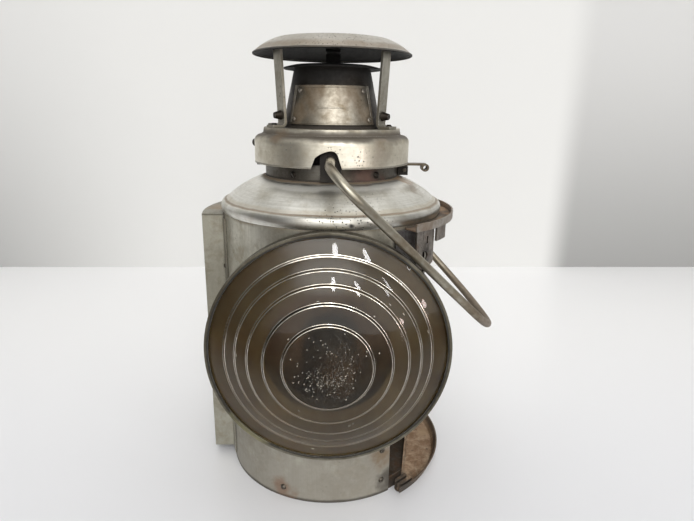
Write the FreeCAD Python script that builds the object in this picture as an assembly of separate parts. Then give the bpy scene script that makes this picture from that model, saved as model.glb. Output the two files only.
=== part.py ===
import FreeCAD, Part

import math
import os

# Oil signal lamp of plated sheet steel, in millimetres.
# The origin is the centre of the base, +Z is up, the lens faces -Y and the doorway faces +X.
# Azimuths are in degrees about +Z, from +X towards +Y.

# Stock and fits
SHEET = 1.0
LID_SHEET = 1.2
STRAP = 1.6
SEAT = 0.1
RUN = 0.4
PIN_PLAY = 0.05

# Body and its doorway
BODY_R = 69.0
BODY_TOP = 176.0
DOORWAY_FRONT = -56.0
DOORWAY_REAR = 36.0
DOORWAY_DROP = 4.8
CHORD_INSET = 13.8
PAN_FLANGE = 9.0

# Shoulder and neck
BEAD_HEIGHT = 5.0
BEAD_PROUD = 0.9
BEAD_GROOVE = 2.0
DOME_RISE = 14.6
DOME_BULGE = 1.5
DOME_MID = 0.58
NECK_R = 42.0
NECK_HEIGHT = 9.4
NECK_LAP = 3.0
SCREW_AZIMUTHS = (-121.0, -51.0, 51.0, 121.0)
SCREW_DROP = 6.0
SCREW_R = 2.0

# Lens: the steps are listed from the rim inwards, as width and as rise of the outer edge
LENS_R = 67.5
LENS_RIM = 3.6
BEZEL_WALL = 1.5
BEZEL_LIP = 2.4
LENS_CLEAR = 2.1
HOOD_TUBE_R = 34.0
HOOD_TUBE_DEPTH = 14.0
RETAINER = 0.8
RETAINER_WIDTH = 2.5
LENS_STEPS = ((9.5, 3.6), (6.5, 8.2), (7.2, 12.1), (9.0, 15.7), (10.45, 18.9))
LENS_CROWN = 19.4
LENS_STEP = 1.1
LENS_ARCH = 0.5
LENS_BACK_CROWN = 9.0

# Sliding door, its trays and its jacket
DOOR_GAP = 2.5
DOOR_LEAD = 20.0
DOOR_SPAN = 132.0
DOOR_STOP = 184.0
DOOR_PULL_AT = 6.0
DOOR_PULL_Z = 88.0
DOOR_PULL_R = 5.0
DOOR_PULL_REACH = 8.0
SILL_REACH = 6.5
SILL_RIM = 7.0
SILL_FLARE = 3.0
SILL_LIP = 3.5
SILL_LUG = 9.0
RAIL_RIM = 5.0
TRAY_REACH = 9.4
TRAY_RIM = 4.4
TRAY_AZIMUTHS = (-52.5, 62.0)
JACKET_REACH = 13.4
JACKET_MOUTH = 73.0
JACKET_FRONT_Y = -17.0
JACKET_BOTTOM = 5.5
JACKET_DROP = 3.8
JACKET_FLANGE = 8.0
POST_AZIMUTHS = (-58.5, -46.5)
POST_DEPTH = 1.3
POST_DROP = 42.0
HANGER = 1.5
JAMB_AZIMUTHS = (-51.3, -47.6)
JAMB_DROP = 24.0
CATCH_AZIMUTH = -41.5
CATCH_OUT = 3.0
CATCH_WIDTH = 11.0
CATCH_DROP = 24.0
CATCH_TIP = 3.0
CATCH_NOTCH = (13.5, 19.0)
CATCH_NOTCH_DEPTH = 5.0
CATCH_SLOT = (-2.6, -0.4)
CATCH_SLOT_DROP = (4.5, 9.0)
GUIDE_AZIMUTHS = (-36.8, -27.5)
GUIDE_DROP = 8.5

# Lid, chimney and cap
LID_OVERHANG = 6.5
LID_LAP = 1.5
LID_SKIRT = 13.0
LID_ROUND = 4.0
LID_STEP = 6.0
LID_STEP_SLOPE = 0.6
LID_RISE = 8.1
CONE_BASE_R = 30.8
CONE_TOP_R = 23.2
CONE_HEIGHT = 35.4
CONE_SEAT = 2.0
FLANGE_R = 29.7
FLANGE_DROP = 1.2
FLANGE_EDGE = 0.9
PLATE_UP = 2.4
PLATE_HEIGHT = 22.0
PLATE_HALF_BOTTOM = 25.4
PLATE_HALF_TOP = 21.2
PLATE_RIVETS = ((42.0, 19.0), (45.5, 2.8))
CAP_R = 48.3
CAP_LIFT = 7.2
CAP_RISE = 10.6
CAP_RIM_WIRE = 0.7
CAP_KNEE = (0.72, 0.78)
CAP_BOW = (0.87, 0.46)
LEG_AZIMUTHS = (90.0, 210.0, 330.0)
LEG_INSET = 0.4
LEG_SPREAD = 0.7
LEG_WIDTH = 9.6
LEG_FOOT = 9.0
LEG_BEND = 3.4
LEG_TAB = 7.0
LEG_BOLT_R = 2.8
LEG_BOLT_HEIGHT = 4.2
LEG_BOLT_UP = 7.4

# Lid hinge and latch
HINGE_AZIMUTH = 155.0
HINGE_OUT = 3.2
HINGE_DROP = 2.5
HINGE_PIN_R = 1.5
HINGE_SHELF = 4.0
HINGE_TAIL = 6.0
KNUCKLE_R = 2.5
STRAP_WIDTH = 8.0
KNUCKLE_WIDTH = 4.7
PIN_HEAD = 0.8
LATCH_OUT = 4.3
LATCH_DROP = 4.2
LATCH_PIN_R = 1.0
LATCH_HUB = 1.2
LATCH_EAR = 2.2
LATCH_WIDTH = 7.2
LATCH_REACH = 11.3
LATCH_LOOP_R = 2.5

# Bail
BAIL_WIRE_R = 2.5
BAIL_RISE = 4.5
BAIL_OUT = 84.6
BAIL_END_INSET = 20.3
BAIL_TAPER = 24.0
BAIL_BEND_R = 16.0
BAIL_TAIL = 1.5
EAR_THICK = 2.2
EAR_HALF = 6.0
EAR_LIFT = 0.4

# Oil fount, burner and wick
FOUNT_R = 40.0
FOUNT_TOP = 46.0
FOUNT_WALL = 0.8
FOUNT_ROUND = 6.0
FILLER_R = 7.0
FILLER_HEIGHT = 7.0
FILLER_ROUND = 1.4
FILLER_AT = (20.0, 20.0)
BURNER_NECK_R = 13.0
BURNER_NECK = 5.0
COLLAR_LAP = 3.0
GALLERY_R = 18.0
GALLERY_HEIGHT = 28.0
VENT_COUNT = 16
VENT_R = 1.6
WICK_WIDTH = 16.0
WICK_THICK = 3.0
WICK_BOTTOM = 10.0
WICK_TOP = 96.0
TUBE_TOP = 92.0
TUBE_DIP = 4.0
TUBE_CLEAR = 0.5
DRAFT_TOP = 99.0
DRAFT_SKIRT = 3.0
SHAFT_R = 1.2
SPUR_R = 4.0
SPUR_ROOT_R = 3.0
SPUR_TEETH = 12
SPUR_WIDTH = 2.0
SPUR_X = 4.0
KNOB_R = 7.5
KNOB_X = 26.0
KNOB_THICK = 4.0
KNOB_EDGE = 0.8

# Rivets
RIVET_R = 2.0
RIVET_HEIGHT = 1.1
SMALL_RIVET_R = 1.4
SMALL_RIVET_HEIGHT = 0.88
FLANGE_RIVET_R = 1.5
RIVET_TAPER = 0.6
BODY_RIVETS = ((-114.0, 7.0), (-61.0, 10.5), (-61.0, 32.0), (120.0, 9.0), (150.0, 9.0))
FLANGE_RIVET_HEIGHTS = (30.0, 84.0, 139.5)

# Sizes that follow from the ones above
BODY_IN = BODY_R - SHEET
CHORD = BODY_R - CHORD_INSET
DOORWAY_TOP = BODY_TOP - DOORWAY_DROP
DOOR_IN = BODY_R + DOOR_GAP
DOOR_OUT = DOOR_IN + SHEET
DOORWAY_MID = (DOORWAY_FRONT + DOORWAY_REAR) / 2
DOOR_BOTTOM = SHEET + RUN
TRAY_FLOOR = DOORWAY_TOP + RUN
DOOR_TOP = TRAY_FLOOR - 2 * RUN
SILL_R = BODY_R + SILL_REACH
TRAY_R = BODY_R + TRAY_REACH
HANGER_R = TRAY_R - SHEET - HANGER
JACKET_R = BODY_R + JACKET_REACH
JACKET_TOP = BODY_TOP - JACKET_DROP
BEZEL_R = LENS_R + BEZEL_WALL
LENS_Z = BODY_TOP - BEZEL_R - LENS_CLEAR
HOOD_BACK = BODY_R + SEAT
HOOD_FRONT = HOOD_BACK + SHEET
GLASS_BACK = HOOD_FRONT + RETAINER + SEAT
GLASS_RIM_FRONT = GLASS_BACK + LENS_RIM
BEZEL_FRONT = GLASS_RIM_FRONT + SEAT + SHEET
DOME_TOP = BODY_TOP + BEAD_HEIGHT + DOME_RISE
NECK_TOP = DOME_TOP + NECK_HEIGHT
LID_R = NECK_R + LID_OVERHANG
LID_BOTTOM = NECK_TOP - LID_LAP
LID_SKIRT_TOP = LID_BOTTOM + LID_SKIRT
LID_STEP_R = LID_R - LID_STEP
LID_TOP = LID_SKIRT_TOP + LID_RISE
CONE_TOP = LID_TOP + CONE_HEIGHT
PLATE_BOTTOM = LID_TOP + PLATE_UP
PLATE_TOP = PLATE_BOTTOM + PLATE_HEIGHT
CAP_RIM_Z = CONE_TOP + CAP_LIFT
CAP_TOP = CAP_RIM_Z + CAP_RISE
CAP_KNEE_R = CAP_R * CAP_KNEE[0]
CAP_KNEE_Z = CAP_RIM_Z + CAP_RISE * CAP_KNEE[1]
LEG_R = LID_STEP_R - LEG_FOOT - LEG_INSET
LEG_TOP_R = CAP_KNEE_R + LEG_SPREAD
LEG_TOP_Z = CAP_KNEE_Z - SHEET - STRAP - 2 * RUN
LEG_LEAN = (LEG_TOP_R - LEG_R) / (LEG_TOP_Z - SHEET - LID_TOP - LEG_BEND)
HINGE_X = -(LID_R + HINGE_OUT)
HINGE_Z = LID_SKIRT_TOP - HINGE_DROP
LATCH_PIN_X = NECK_R + LATCH_OUT
LATCH_PIN_Z = LID_BOTTOM - LATCH_DROP
LATCH_LOOP_X = LID_R + LATCH_REACH
BAIL_Z = LID_BOTTOM + BAIL_RISE
BAIL_REACH = BODY_R + BAIL_OUT
BAIL_END_R = BODY_R - BAIL_END_INSET
BAIL_INNER_Y = NECK_R - BAIL_TAIL
BAIL_REST = math.degrees(math.acos((BEZEL_R + BAIL_WIRE_R + RUN) / (BAIL_Z - LENS_Z)))
EAR_BACK = NECK_R + SEAT
SHAFT_Y = WICK_THICK / 2 + RUN + SPUR_R
GALLERY_BOTTOM = FOUNT_TOP + BURNER_NECK
GALLERY_TOP = GALLERY_BOTTOM + GALLERY_HEIGHT
SHAFT_Z = GALLERY_TOP - GALLERY_HEIGHT / 3

UP = FreeCAD.Vector(0, 0, 1)
ORIGIN = FreeCAD.Vector(0, 0, 0)
Y_AXIS = FreeCAD.Vector(0, 1, 0)
X_AXIS = FreeCAD.Vector(1, 0, 0)


def vec(x, y, z):
    return FreeCAD.Vector(x, y, z)


def at_azimuth(radius, azimuth, z):
    angle = math.radians(azimuth)
    return vec(radius * math.cos(angle), radius * math.sin(angle), z)


def path(start, *steps):
    """Wire in the XZ plane: a step is a point, or a (via, end) pair for an arc."""
    edges = []
    here = vec(start[0], 0, start[1])
    for step in steps:
        if isinstance(step[0], tuple):
            via = vec(step[0][0], 0, step[0][1])
            end = vec(step[1][0], 0, step[1][1])
            edges.append(Part.Arc(here, via, end).toShape())
        else:
            end = vec(step[0], 0, step[1])
            edges.append(Part.LineSegment(here, end).toShape())
        here = end
    return Part.Wire(edges)


def outline(start, *steps):
    return Part.Face(path(start, *steps, start))


def crown_via(radius, z, top):
    """Middle of the arc from (radius, z) to the axis at top, on a sphere centred on the axis."""
    rise = top - z
    sphere = (radius ** 2 + rise ** 2) / (2 * rise)
    half = math.asin(radius / sphere) / 2
    return sphere * math.sin(half), top - sphere * (1 - math.cos(half))


def strip_outline(wire, thickness):
    """Face of constant thickness on the left of an open wire, for bent sheet."""
    return wire.makeOffset2D(thickness, 2, True, True, False)


def turned(face, start=0.0, sweep=360.0):
    solid = face.revolve(ORIGIN, UP, sweep)
    solid.rotate(ORIGIN, UP, start)
    return solid


def ring(r_in, r_out, z_low, z_high, start=0.0, sweep=360.0):
    face = outline((r_in, z_low), (r_out, z_low), (r_out, z_high), (r_in, z_high))
    return turned(face, start, sweep)


def box(x_low, x_high, y_low, y_high, z_low, z_high):
    size = (x_high - x_low, y_high - y_low, z_high - z_low)
    return Part.makeBox(*size, vec(x_low, y_low, z_low))


def bar_y(face, y_low, y_high):
    """Extrude a face of the XZ plane between two Y values."""
    solid = face.extrude(vec(0, y_high - y_low, 0))
    solid.translate(vec(0, y_low, 0))
    return solid


def lens_frame(shape):
    """Turn a shape made about +Z so that its +Z points forward out of the lens."""
    shape.rotate(ORIGIN, X_AXIS, 90)
    shape.translate(vec(0, 0, LENS_Z))
    return shape


def rivet(base, direction, radius=RIVET_R, height=RIVET_HEIGHT):
    return Part.makeCone(radius, radius * RIVET_TAPER, height, base, direction)


def radial(azimuth):
    return at_azimuth(1.0, azimuth, 0.0)


def body_shell():
    shell = ring(BODY_IN, BODY_R, 0, BODY_TOP)
    doorway = ring(BODY_IN - 1, BODY_R + 1, -1, DOORWAY_TOP, DOORWAY_FRONT, DOORWAY_REAR - DOORWAY_FRONT)
    lens_hole = lens_frame(Part.makeCylinder(HOOD_TUBE_R + SHEET + SEAT, 2 * BODY_R))
    return shell.cut(doorway).cut(lens_hole)


def beyond_chord(distance):
    """Everything past a chord of the base, square to the middle of the doorway."""
    block = box(distance, 3 * BODY_R, -2 * BODY_R, 2 * BODY_R, -1, BODY_R)
    block.rotate(ORIGIN, UP, DOORWAY_MID)
    return block


def base_pan():
    radius = BODY_IN - SEAT
    pan = ring(0, radius, 0, SHEET).fuse(ring(radius - SHEET, radius, 0, PAN_FLANGE))
    return pan.cut(beyond_chord(CHORD)).removeSplitter()


def shoulder_dome():
    bead_mid = BODY_TOP + BEAD_HEIGHT / 2
    bead_top = BODY_TOP + BEAD_HEIGHT
    hole_r = NECK_R + SEAT
    groove_r = BODY_R - BEAD_GROOVE
    mid_r = (groove_r + hole_r) / 2 + DOME_BULGE
    mid_z = bead_top + DOME_RISE * DOME_MID
    profile = outline(
        (BODY_IN, BODY_TOP),
        (BODY_R, BODY_TOP),
        ((BODY_R + BEAD_PROUD, bead_mid), (BODY_R - 0.6, bead_top - 0.4)),
        (groove_r, bead_top + 0.4),
        ((mid_r, mid_z), (hole_r, DOME_TOP)),
        (hole_r, DOME_TOP - SHEET),
        ((mid_r - SHEET * 0.6, mid_z - SHEET), (groove_r - SHEET, bead_top - SHEET)),
        (BODY_IN, bead_mid),
    )
    return turned(profile)


def neck_ring():
    return ring(NECK_R - LID_SHEET, NECK_R, DOME_TOP - NECK_LAP, NECK_TOP)


def neck_screws():
    height = NECK_TOP - SCREW_DROP
    heads = []
    for azimuth in SCREW_AZIMUTHS:
        base = at_azimuth(NECK_R, azimuth, height)
        heads.append(Part.makeCylinder(SCREW_R, RIVET_HEIGHT, base, radial(azimuth)))
    return Part.makeCompound(heads)


def lens_hood():
    tube_r = HOOD_TUBE_R + SHEET
    flange = ring(HOOD_TUBE_R, LENS_R, HOOD_BACK, HOOD_FRONT)
    tube = ring(HOOD_TUBE_R, tube_r, HOOD_FRONT - HOOD_TUBE_DEPTH, HOOD_FRONT)
    return lens_frame(flange.fuse(tube).removeSplitter())


def lens_retainer():
    return lens_frame(ring(LENS_R - RETAINER_WIDTH, LENS_R, HOOD_FRONT, HOOD_FRONT + RETAINER))


def front_lens():
    front = GLASS_RIM_FRONT
    top = front + LENS_CROWN
    back_top = GLASS_BACK + LENS_BACK_CROWN
    clear_r = BEZEL_R - BEZEL_LIP - SEAT
    rim_r = LENS_R - SEAT
    steps = [(crown_via(clear_r, GLASS_BACK, back_top), (clear_r, GLASS_BACK))]
    steps += [(rim_r, GLASS_BACK), (rim_r, front), (clear_r, front)]
    outer = clear_r
    foot = front
    for width, rise in LENS_STEPS:
        inner = outer - width
        crest = front + rise
        root = crest - LENS_STEP
        if foot == front:
            steps.append((inner, crest))
        else:
            steps.append((((inner + outer) / 2, (root + foot) / 2 + LENS_ARCH), (inner, root)))
            steps.append((inner, crest))
        outer = inner
        foot = crest
    steps.append((crown_via(outer, foot, top), (0, top)))
    return lens_frame(turned(outline((0, back_top), *steps)))


def lens_bezel():
    wall = ring(LENS_R + SEAT, BEZEL_R, HOOD_BACK, BEZEL_FRONT)
    lip = ring(BEZEL_R - BEZEL_LIP, BEZEL_R, BEZEL_FRONT - SHEET, BEZEL_FRONT)
    return lens_frame(wall.fuse(lip).removeSplitter())


def sill_tray():
    inner = CHORD + SEAT
    keep = beyond_chord(inner)
    floor = ring(0, SILL_R, 0, SHEET).common(keep)
    rim = turned(outline(
        (SILL_R - SHEET, 0),
        (SILL_R, 0),
        (SILL_R + SILL_FLARE, SILL_RIM),
        (SILL_R + SILL_FLARE - SHEET, SILL_RIM),
    )).common(keep)
    lip_half = 0.75 * math.sqrt(SILL_R ** 2 - inner ** 2)
    lip = box(inner, inner + SHEET, -lip_half, lip_half, 0, SILL_LIP)
    lip.rotate(ORIGIN, UP, DOORWAY_MID)
    lug_start = DOORWAY_MID - math.degrees(math.acos(inner / SILL_R))
    lug = ring(BODY_R + SEAT, SILL_R, 0, SILL_RIM - SHEET, lug_start, SILL_LUG)
    upright = [edge for edge in lug.Edges if edge.BoundBox.ZLength > SHEET]
    lug = lug.makeFillet(SILL_FLARE, [edge for edge in upright if near_azimuth(edge, lug_start)])
    lug = lug.cut(ring(DOOR_IN - RUN, DOOR_OUT + RUN, SHEET, 2 * SILL_RIM))
    return floor.fuse([rim, lip, lug]).removeSplitter()


def near_azimuth(edge, azimuth):
    middle = edge.BoundBox.Center
    return abs(math.degrees(math.atan2(middle.y, middle.x)) - azimuth) < 1


def base_rail():
    tray_end = DOORWAY_MID + math.degrees(math.acos(CHORD / (SILL_R + SILL_FLARE)))
    sweep = DOOR_STOP - tray_end
    floor = ring(BODY_R + SEAT, SILL_R, 0, SHEET, tray_end, sweep)
    rim = ring(SILL_R - SHEET, SILL_R, 0, RAIL_RIM, tray_end, sweep)
    return floor.fuse(rim).removeSplitter()


def top_tray():
    start, end = TRAY_AZIMUTHS
    floor = ring(BODY_R + SEAT, TRAY_R, TRAY_FLOOR, TRAY_FLOOR + SHEET, start, end - start)
    rim = ring(TRAY_R - SHEET, TRAY_R, TRAY_FLOOR, TRAY_FLOOR + TRAY_RIM, start, end - start)
    return floor.fuse(rim).removeSplitter()


def door_post():
    start, end = POST_AZIMUTHS
    low = TRAY_FLOOR - POST_DROP
    return ring(BODY_R + SEAT, BODY_R + SEAT + POST_DEPTH, low, TRAY_FLOOR, start, end - start)


def jamb_strip():
    start, end = JAMB_AZIMUTHS
    return ring(HANGER_R, HANGER_R + HANGER, TRAY_FLOOR - JAMB_DROP, TRAY_FLOOR, start, end - start)


def door_catch():
    half = CATCH_WIDTH / 2
    low = TRAY_FLOOR - CATCH_DROP
    notch_top = TRAY_FLOOR - CATCH_NOTCH[0]
    notch_low = TRAY_FLOOR - CATCH_NOTCH[1]
    leaf = outline(
        (-half, TRAY_FLOOR),
        (half, TRAY_FLOOR),
        (half, low + CATCH_TIP),
        (0, low),
        (-half, low + CATCH_TIP / 2),
        (-half, notch_low),
        ((CATCH_NOTCH_DEPTH - half, (notch_top + notch_low) / 2), (-half, notch_top)),
    )
    left, right = CATCH_SLOT
    upper, lower = CATCH_SLOT_DROP
    slot = box(left, right, -1, LID_SHEET + 1, TRAY_FLOOR - lower, TRAY_FLOOR - upper)
    plate = bar_y(leaf, 0, LID_SHEET).cut(slot)
    plate.translate(vec(0, -(DOOR_OUT + CATCH_OUT), 0))
    plate.rotate(ORIGIN, UP, 90 + CATCH_AZIMUTH)
    return plate


def door_guide():
    start, end = GUIDE_AZIMUTHS
    return ring(HANGER_R, HANGER_R + HANGER, TRAY_FLOOR - GUIDE_DROP, TRAY_FLOOR, start, end - start)


def jacket_azimuth(radius):
    """Azimuth at which a circle meets the plane of the jacket's front."""
    return 180.0 + math.degrees(math.asin(-JACKET_FRONT_Y / radius))


def jacket_shell():
    sweep = jacket_azimuth(JACKET_R - SHEET) - JACKET_MOUTH
    wall = ring(JACKET_R - SHEET, JACKET_R, JACKET_BOTTOM, JACKET_TOP, JACKET_MOUTH, sweep + 5)
    return wall.cut(front_of_jacket())


def front_of_jacket():
    return box(-2 * JACKET_R, 0, -2 * JACKET_R, JACKET_FRONT_Y, -1, 2 * JACKET_TOP)


def jacket_top_plate():
    sweep = jacket_azimuth(BODY_R) - JACKET_MOUTH
    plate = ring(BODY_R + SEAT, JACKET_R - SHEET, JACKET_TOP - SHEET, JACKET_TOP, JACKET_MOUTH, sweep + 5)
    return plate.cut(front_of_jacket())


def jacket_end_plate():
    inner_x = -math.sqrt((BODY_R + SEAT) ** 2 - JACKET_FRONT_Y ** 2)
    outer_x = -math.sqrt(JACKET_R ** 2 - JACKET_FRONT_Y ** 2)
    plate = box(outer_x, inner_x, JACKET_FRONT_Y - SHEET, JACKET_FRONT_Y, JACKET_BOTTOM, JACKET_TOP)
    inside = Part.makeCylinder(BODY_R + SEAT, 2 * JACKET_TOP, vec(0, 0, -1))
    start = jacket_azimuth(BODY_R + SEAT)
    flange_r = BODY_R + SEAT
    flange = ring(flange_r, flange_r + SHEET, JACKET_BOTTOM, JACKET_TOP - 2 * SHEET, start, JACKET_FLANGE)
    return plate.fuse(flange).cut(inside).removeSplitter()


def body_rivets():
    heads = []
    for azimuth, z in BODY_RIVETS:
        heads.append(rivet(at_azimuth(BODY_R, azimuth, z), radial(azimuth)))
    flange_r = BODY_R + SEAT + SHEET
    flange_mid = jacket_azimuth(BODY_R + SEAT) + JACKET_FLANGE / 2
    for z in FLANGE_RIVET_HEIGHTS:
        heads.append(rivet(at_azimuth(flange_r, flange_mid, z), radial(flange_mid), FLANGE_RIVET_R))
    return Part.makeCompound(heads)


def bail_ear(side):
    plate = box(-EAR_HALF, EAR_HALF, 0, EAR_THICK, DOME_TOP + EAR_LIFT, BAIL_Z)
    round_top = Part.makeCylinder(EAR_HALF, EAR_THICK, vec(0, 0, BAIL_Z), Y_AXIS)
    hole = Part.makeCylinder(BAIL_WIRE_R + PIN_PLAY, 3 * EAR_THICK, vec(0, -EAR_THICK, BAIL_Z), Y_AXIS)
    ear = plate.fuse(round_top).cut(hole).removeSplitter()
    ear.translate(vec(0, EAR_BACK, 0))
    if side < 0:
        ear.rotate(ORIGIN, UP, 180)
    return ear


def bail():
    taper = math.radians(BAIL_TAPER)
    along = math.cos(taper)
    across = math.sin(taper)
    bend = BAIL_BEND_R
    end_x = BAIL_REACH - BAIL_END_R
    side = (BAIL_END_R + (end_x - bend) * across) / along
    bend_y = side - bend / along
    turn = math.radians(45 - BAIL_TAPER / 2)
    near = (
        (0, BAIL_INNER_Y),
        (0, bend_y),
        (bend - bend * math.cos(turn), bend_y + bend * math.sin(turn)),
        (bend + bend * across, bend_y + bend * along),
        (end_x + BAIL_END_R * across, BAIL_END_R * along),
    )
    p = [vec(x, -y, 0) for x, y in near]
    q = [vec(x, y, 0) for x, y in near]
    spine = Part.Wire([
        Part.LineSegment(p[0], p[1]).toShape(),
        Part.Arc(p[1], p[2], p[3]).toShape(),
        Part.LineSegment(p[3], p[4]).toShape(),
        Part.Arc(p[4], vec(BAIL_REACH, 0, 0), q[4]).toShape(),
        Part.LineSegment(q[4], q[3]).toShape(),
        Part.Arc(q[3], q[2], q[1]).toShape(),
        Part.LineSegment(q[1], q[0]).toShape(),
    ])
    section = Part.Wire(Part.Circle(p[0], Y_AXIS, BAIL_WIRE_R).toShape())
    wire = spine.makePipeShell([section], True, False)
    wire.rotate(ORIGIN, Y_AXIS, BAIL_REST)
    wire.translate(vec(0, 0, BAIL_Z))
    return wire


def hinge_frame(shape):
    """Turn a shape made at azimuth 180 to the hinge's place."""
    shape.rotate(ORIGIN, UP, HINGE_AZIMUTH - 180)
    return shape


def knuckle(y_low, y_high, hole_r):
    start = vec(HINGE_X, y_low, HINGE_Z)
    barrel = Part.makeCylinder(KNUCKLE_R, y_high - y_low, start, Y_AXIS)
    return barrel, Part.makeCylinder(hole_r, y_high - y_low, start, Y_AXIS)


def hinge_bracket():
    shelf = DOME_TOP + HINGE_SHELF
    neck_x = -(NECK_R + SEAT)
    gap_half = STRAP_WIDTH / 2 + RUN
    half = gap_half + KNUCKLE_WIDTH
    rise_x = HINGE_X + STRAP / 2
    leaf = strip_outline(
        path((neck_x, NECK_TOP - STRAP), (neck_x, shelf), (rise_x, shelf), (rise_x, HINGE_Z)),
        -STRAP,
    )
    plate = bar_y(leaf, -half, half)
    swing = KNUCKLE_R + RUN
    low = HINGE_Z - swing - STRAP
    middle = box(HINGE_X - 2 * swing, HINGE_X + swing, -gap_half, gap_half, low, HINGE_Z + swing)
    plate = plate.cut(middle)
    for low, high in ((-half, -gap_half), (gap_half, half)):
        barrel, hole = knuckle(low, high, HINGE_PIN_R + PIN_PLAY)
        plate = plate.fuse(barrel).cut(hole)
    return hinge_frame(plate.removeSplitter())


def hinge_strap():
    half = STRAP_WIDTH / 2
    top = LID_TOP + SEAT
    shoulder = LID_STEP / 3
    leaf = strip_outline(
        path(
            (HINGE_TAIL - LID_STEP_R, top),
            (-LID_STEP_R - STRAP / 2, top),
            (-LID_STEP_R - STRAP, LID_TOP - 2 * STRAP),
            (-LID_R - STRAP / 2, LID_SKIRT_TOP + shoulder),
            (HINGE_X, HINGE_Z + KNUCKLE_R - STRAP),
        ),
        -STRAP,
    )
    barrel, hole = knuckle(-half, half, HINGE_PIN_R + PIN_PLAY)
    return hinge_frame(bar_y(leaf, -half, half).fuse(barrel).cut(hole).removeSplitter())


def hinge_pin():
    half = STRAP_WIDTH / 2 + RUN + KNUCKLE_WIDTH + PIN_HEAD
    return hinge_frame(Part.makeCylinder(HINGE_PIN_R, 2 * half, vec(HINGE_X, -half, HINGE_Z), Y_AXIS))


def latch_bracket():
    gap_half = LATCH_WIDTH / 2 + RUN
    half = gap_half + LID_SHEET
    back_x = NECK_R + SEAT
    low = DOME_TOP + EAR_LIFT
    high = LATCH_PIN_Z + LATCH_EAR
    bracket = box(back_x, back_x + LID_SHEET, -half, half, low, high)
    for y_low in (-half, gap_half):
        bracket = bracket.fuse(box(back_x, LATCH_PIN_X + LATCH_EAR, y_low, y_low + LID_SHEET, low, high))
    hole_start = vec(LATCH_PIN_X, -2 * half, LATCH_PIN_Z)
    hole = Part.makeCylinder(LATCH_PIN_R + PIN_PLAY, 4 * half, hole_start, Y_AXIS)
    return bracket.cut(hole).removeSplitter()


def latch_pin():
    half = LATCH_WIDTH / 2 + RUN + LID_SHEET + PIN_HEAD
    return Part.makeCylinder(LATCH_PIN_R, 2 * half, vec(LATCH_PIN_X, -half, LATCH_PIN_Z), Y_AXIS)


def latch_round(radius, x, z):
    """Cylinder across the latch's width."""
    return Part.makeCylinder(radius, LATCH_WIDTH, vec(x, -LATCH_WIDTH / 2, z), Y_AXIS)


def latch_lever():
    half = LATCH_WIDTH / 2
    blade_z = LID_BOTTOM - RUN - LID_SHEET
    loop_z = blade_z - LATCH_LOOP_R + LID_SHEET
    wire = path(
        (LATCH_PIN_X - LATCH_HUB / 2, LATCH_PIN_Z + LATCH_HUB / 2),
        (LATCH_PIN_X + 2 * LATCH_HUB, blade_z),
        (LATCH_LOOP_X, blade_z),
    )
    lever = bar_y(strip_outline(wire, LID_SHEET), -half, half)
    lever = lever.fuse([
        latch_round(LATCH_PIN_R + LATCH_HUB, LATCH_PIN_X, LATCH_PIN_Z),
        latch_round(LATCH_LOOP_R, LATCH_LOOP_X, loop_z),
    ])
    lever = lever.cut(latch_round(LATCH_LOOP_R - LID_SHEET, LATCH_LOOP_X, loop_z))
    return lever.cut(latch_round(LATCH_PIN_R + PIN_PLAY, LATCH_PIN_X, LATCH_PIN_Z)).removeSplitter()


def bail_notch():
    """Opening in the lid's skirt that drops over the bail, open at the bottom."""
    low = LID_BOTTOM - 1
    wire = BAIL_WIRE_R
    return outline(
        (-4.6 * wire, low),
        (-3.5 * wire, BAIL_Z + 0.6 * wire),
        ((-1.6 * wire, BAIL_Z + 1.8 * wire), (0.2 * wire, BAIL_Z + 2.2 * wire)),
        ((1.3 * wire, BAIL_Z + 1.7 * wire), (1.7 * wire, BAIL_Z + 0.8 * wire)),
        (2.7 * wire, low),
    )


def lid_collar():
    shoulder_z = LID_SKIRT_TOP + LID_ROUND
    wire = path(
        (LID_R, LID_BOTTOM),
        (LID_R, LID_SKIRT_TOP),
        ((LID_R - LID_ROUND * 0.29, LID_SKIRT_TOP + LID_ROUND * 0.71), (LID_R - LID_ROUND, shoulder_z)),
        (LID_STEP_R + LID_STEP_SLOPE, shoulder_z + LID_STEP_SLOPE),
        (LID_STEP_R, LID_TOP),
        (CONE_BASE_R - CONE_SEAT, LID_TOP),
    )
    collar = turned(strip_outline(wire, LID_SHEET))
    notch = bail_notch()
    return collar.cut(bar_y(notch, -2 * LID_R, 0)).cut(bar_y(notch, 0, 2 * LID_R))


def cone_radius(z):
    share = (z - LID_TOP) / (CONE_TOP - LID_TOP)
    return CONE_BASE_R + (CONE_TOP_R - CONE_BASE_R) * share


def chimney_cone():
    return turned(outline(
        (CONE_BASE_R - SHEET, LID_TOP),
        (CONE_BASE_R, LID_TOP),
        (CONE_TOP_R, CONE_TOP),
        (CONE_TOP_R - SHEET, CONE_TOP),
    ))


def chimney_flange():
    inner = CONE_TOP_R - SHEET
    bend_r = CONE_TOP_R + SHEET
    edge = CONE_TOP - FLANGE_DROP
    return turned(outline(
        (inner, CONE_TOP),
        (bend_r, CONE_TOP),
        (FLANGE_R, edge),
        (FLANGE_R, edge + FLANGE_EDGE),
        (bend_r, CONE_TOP + SHEET),
        (inner, CONE_TOP + SHEET),
    ))


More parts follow.
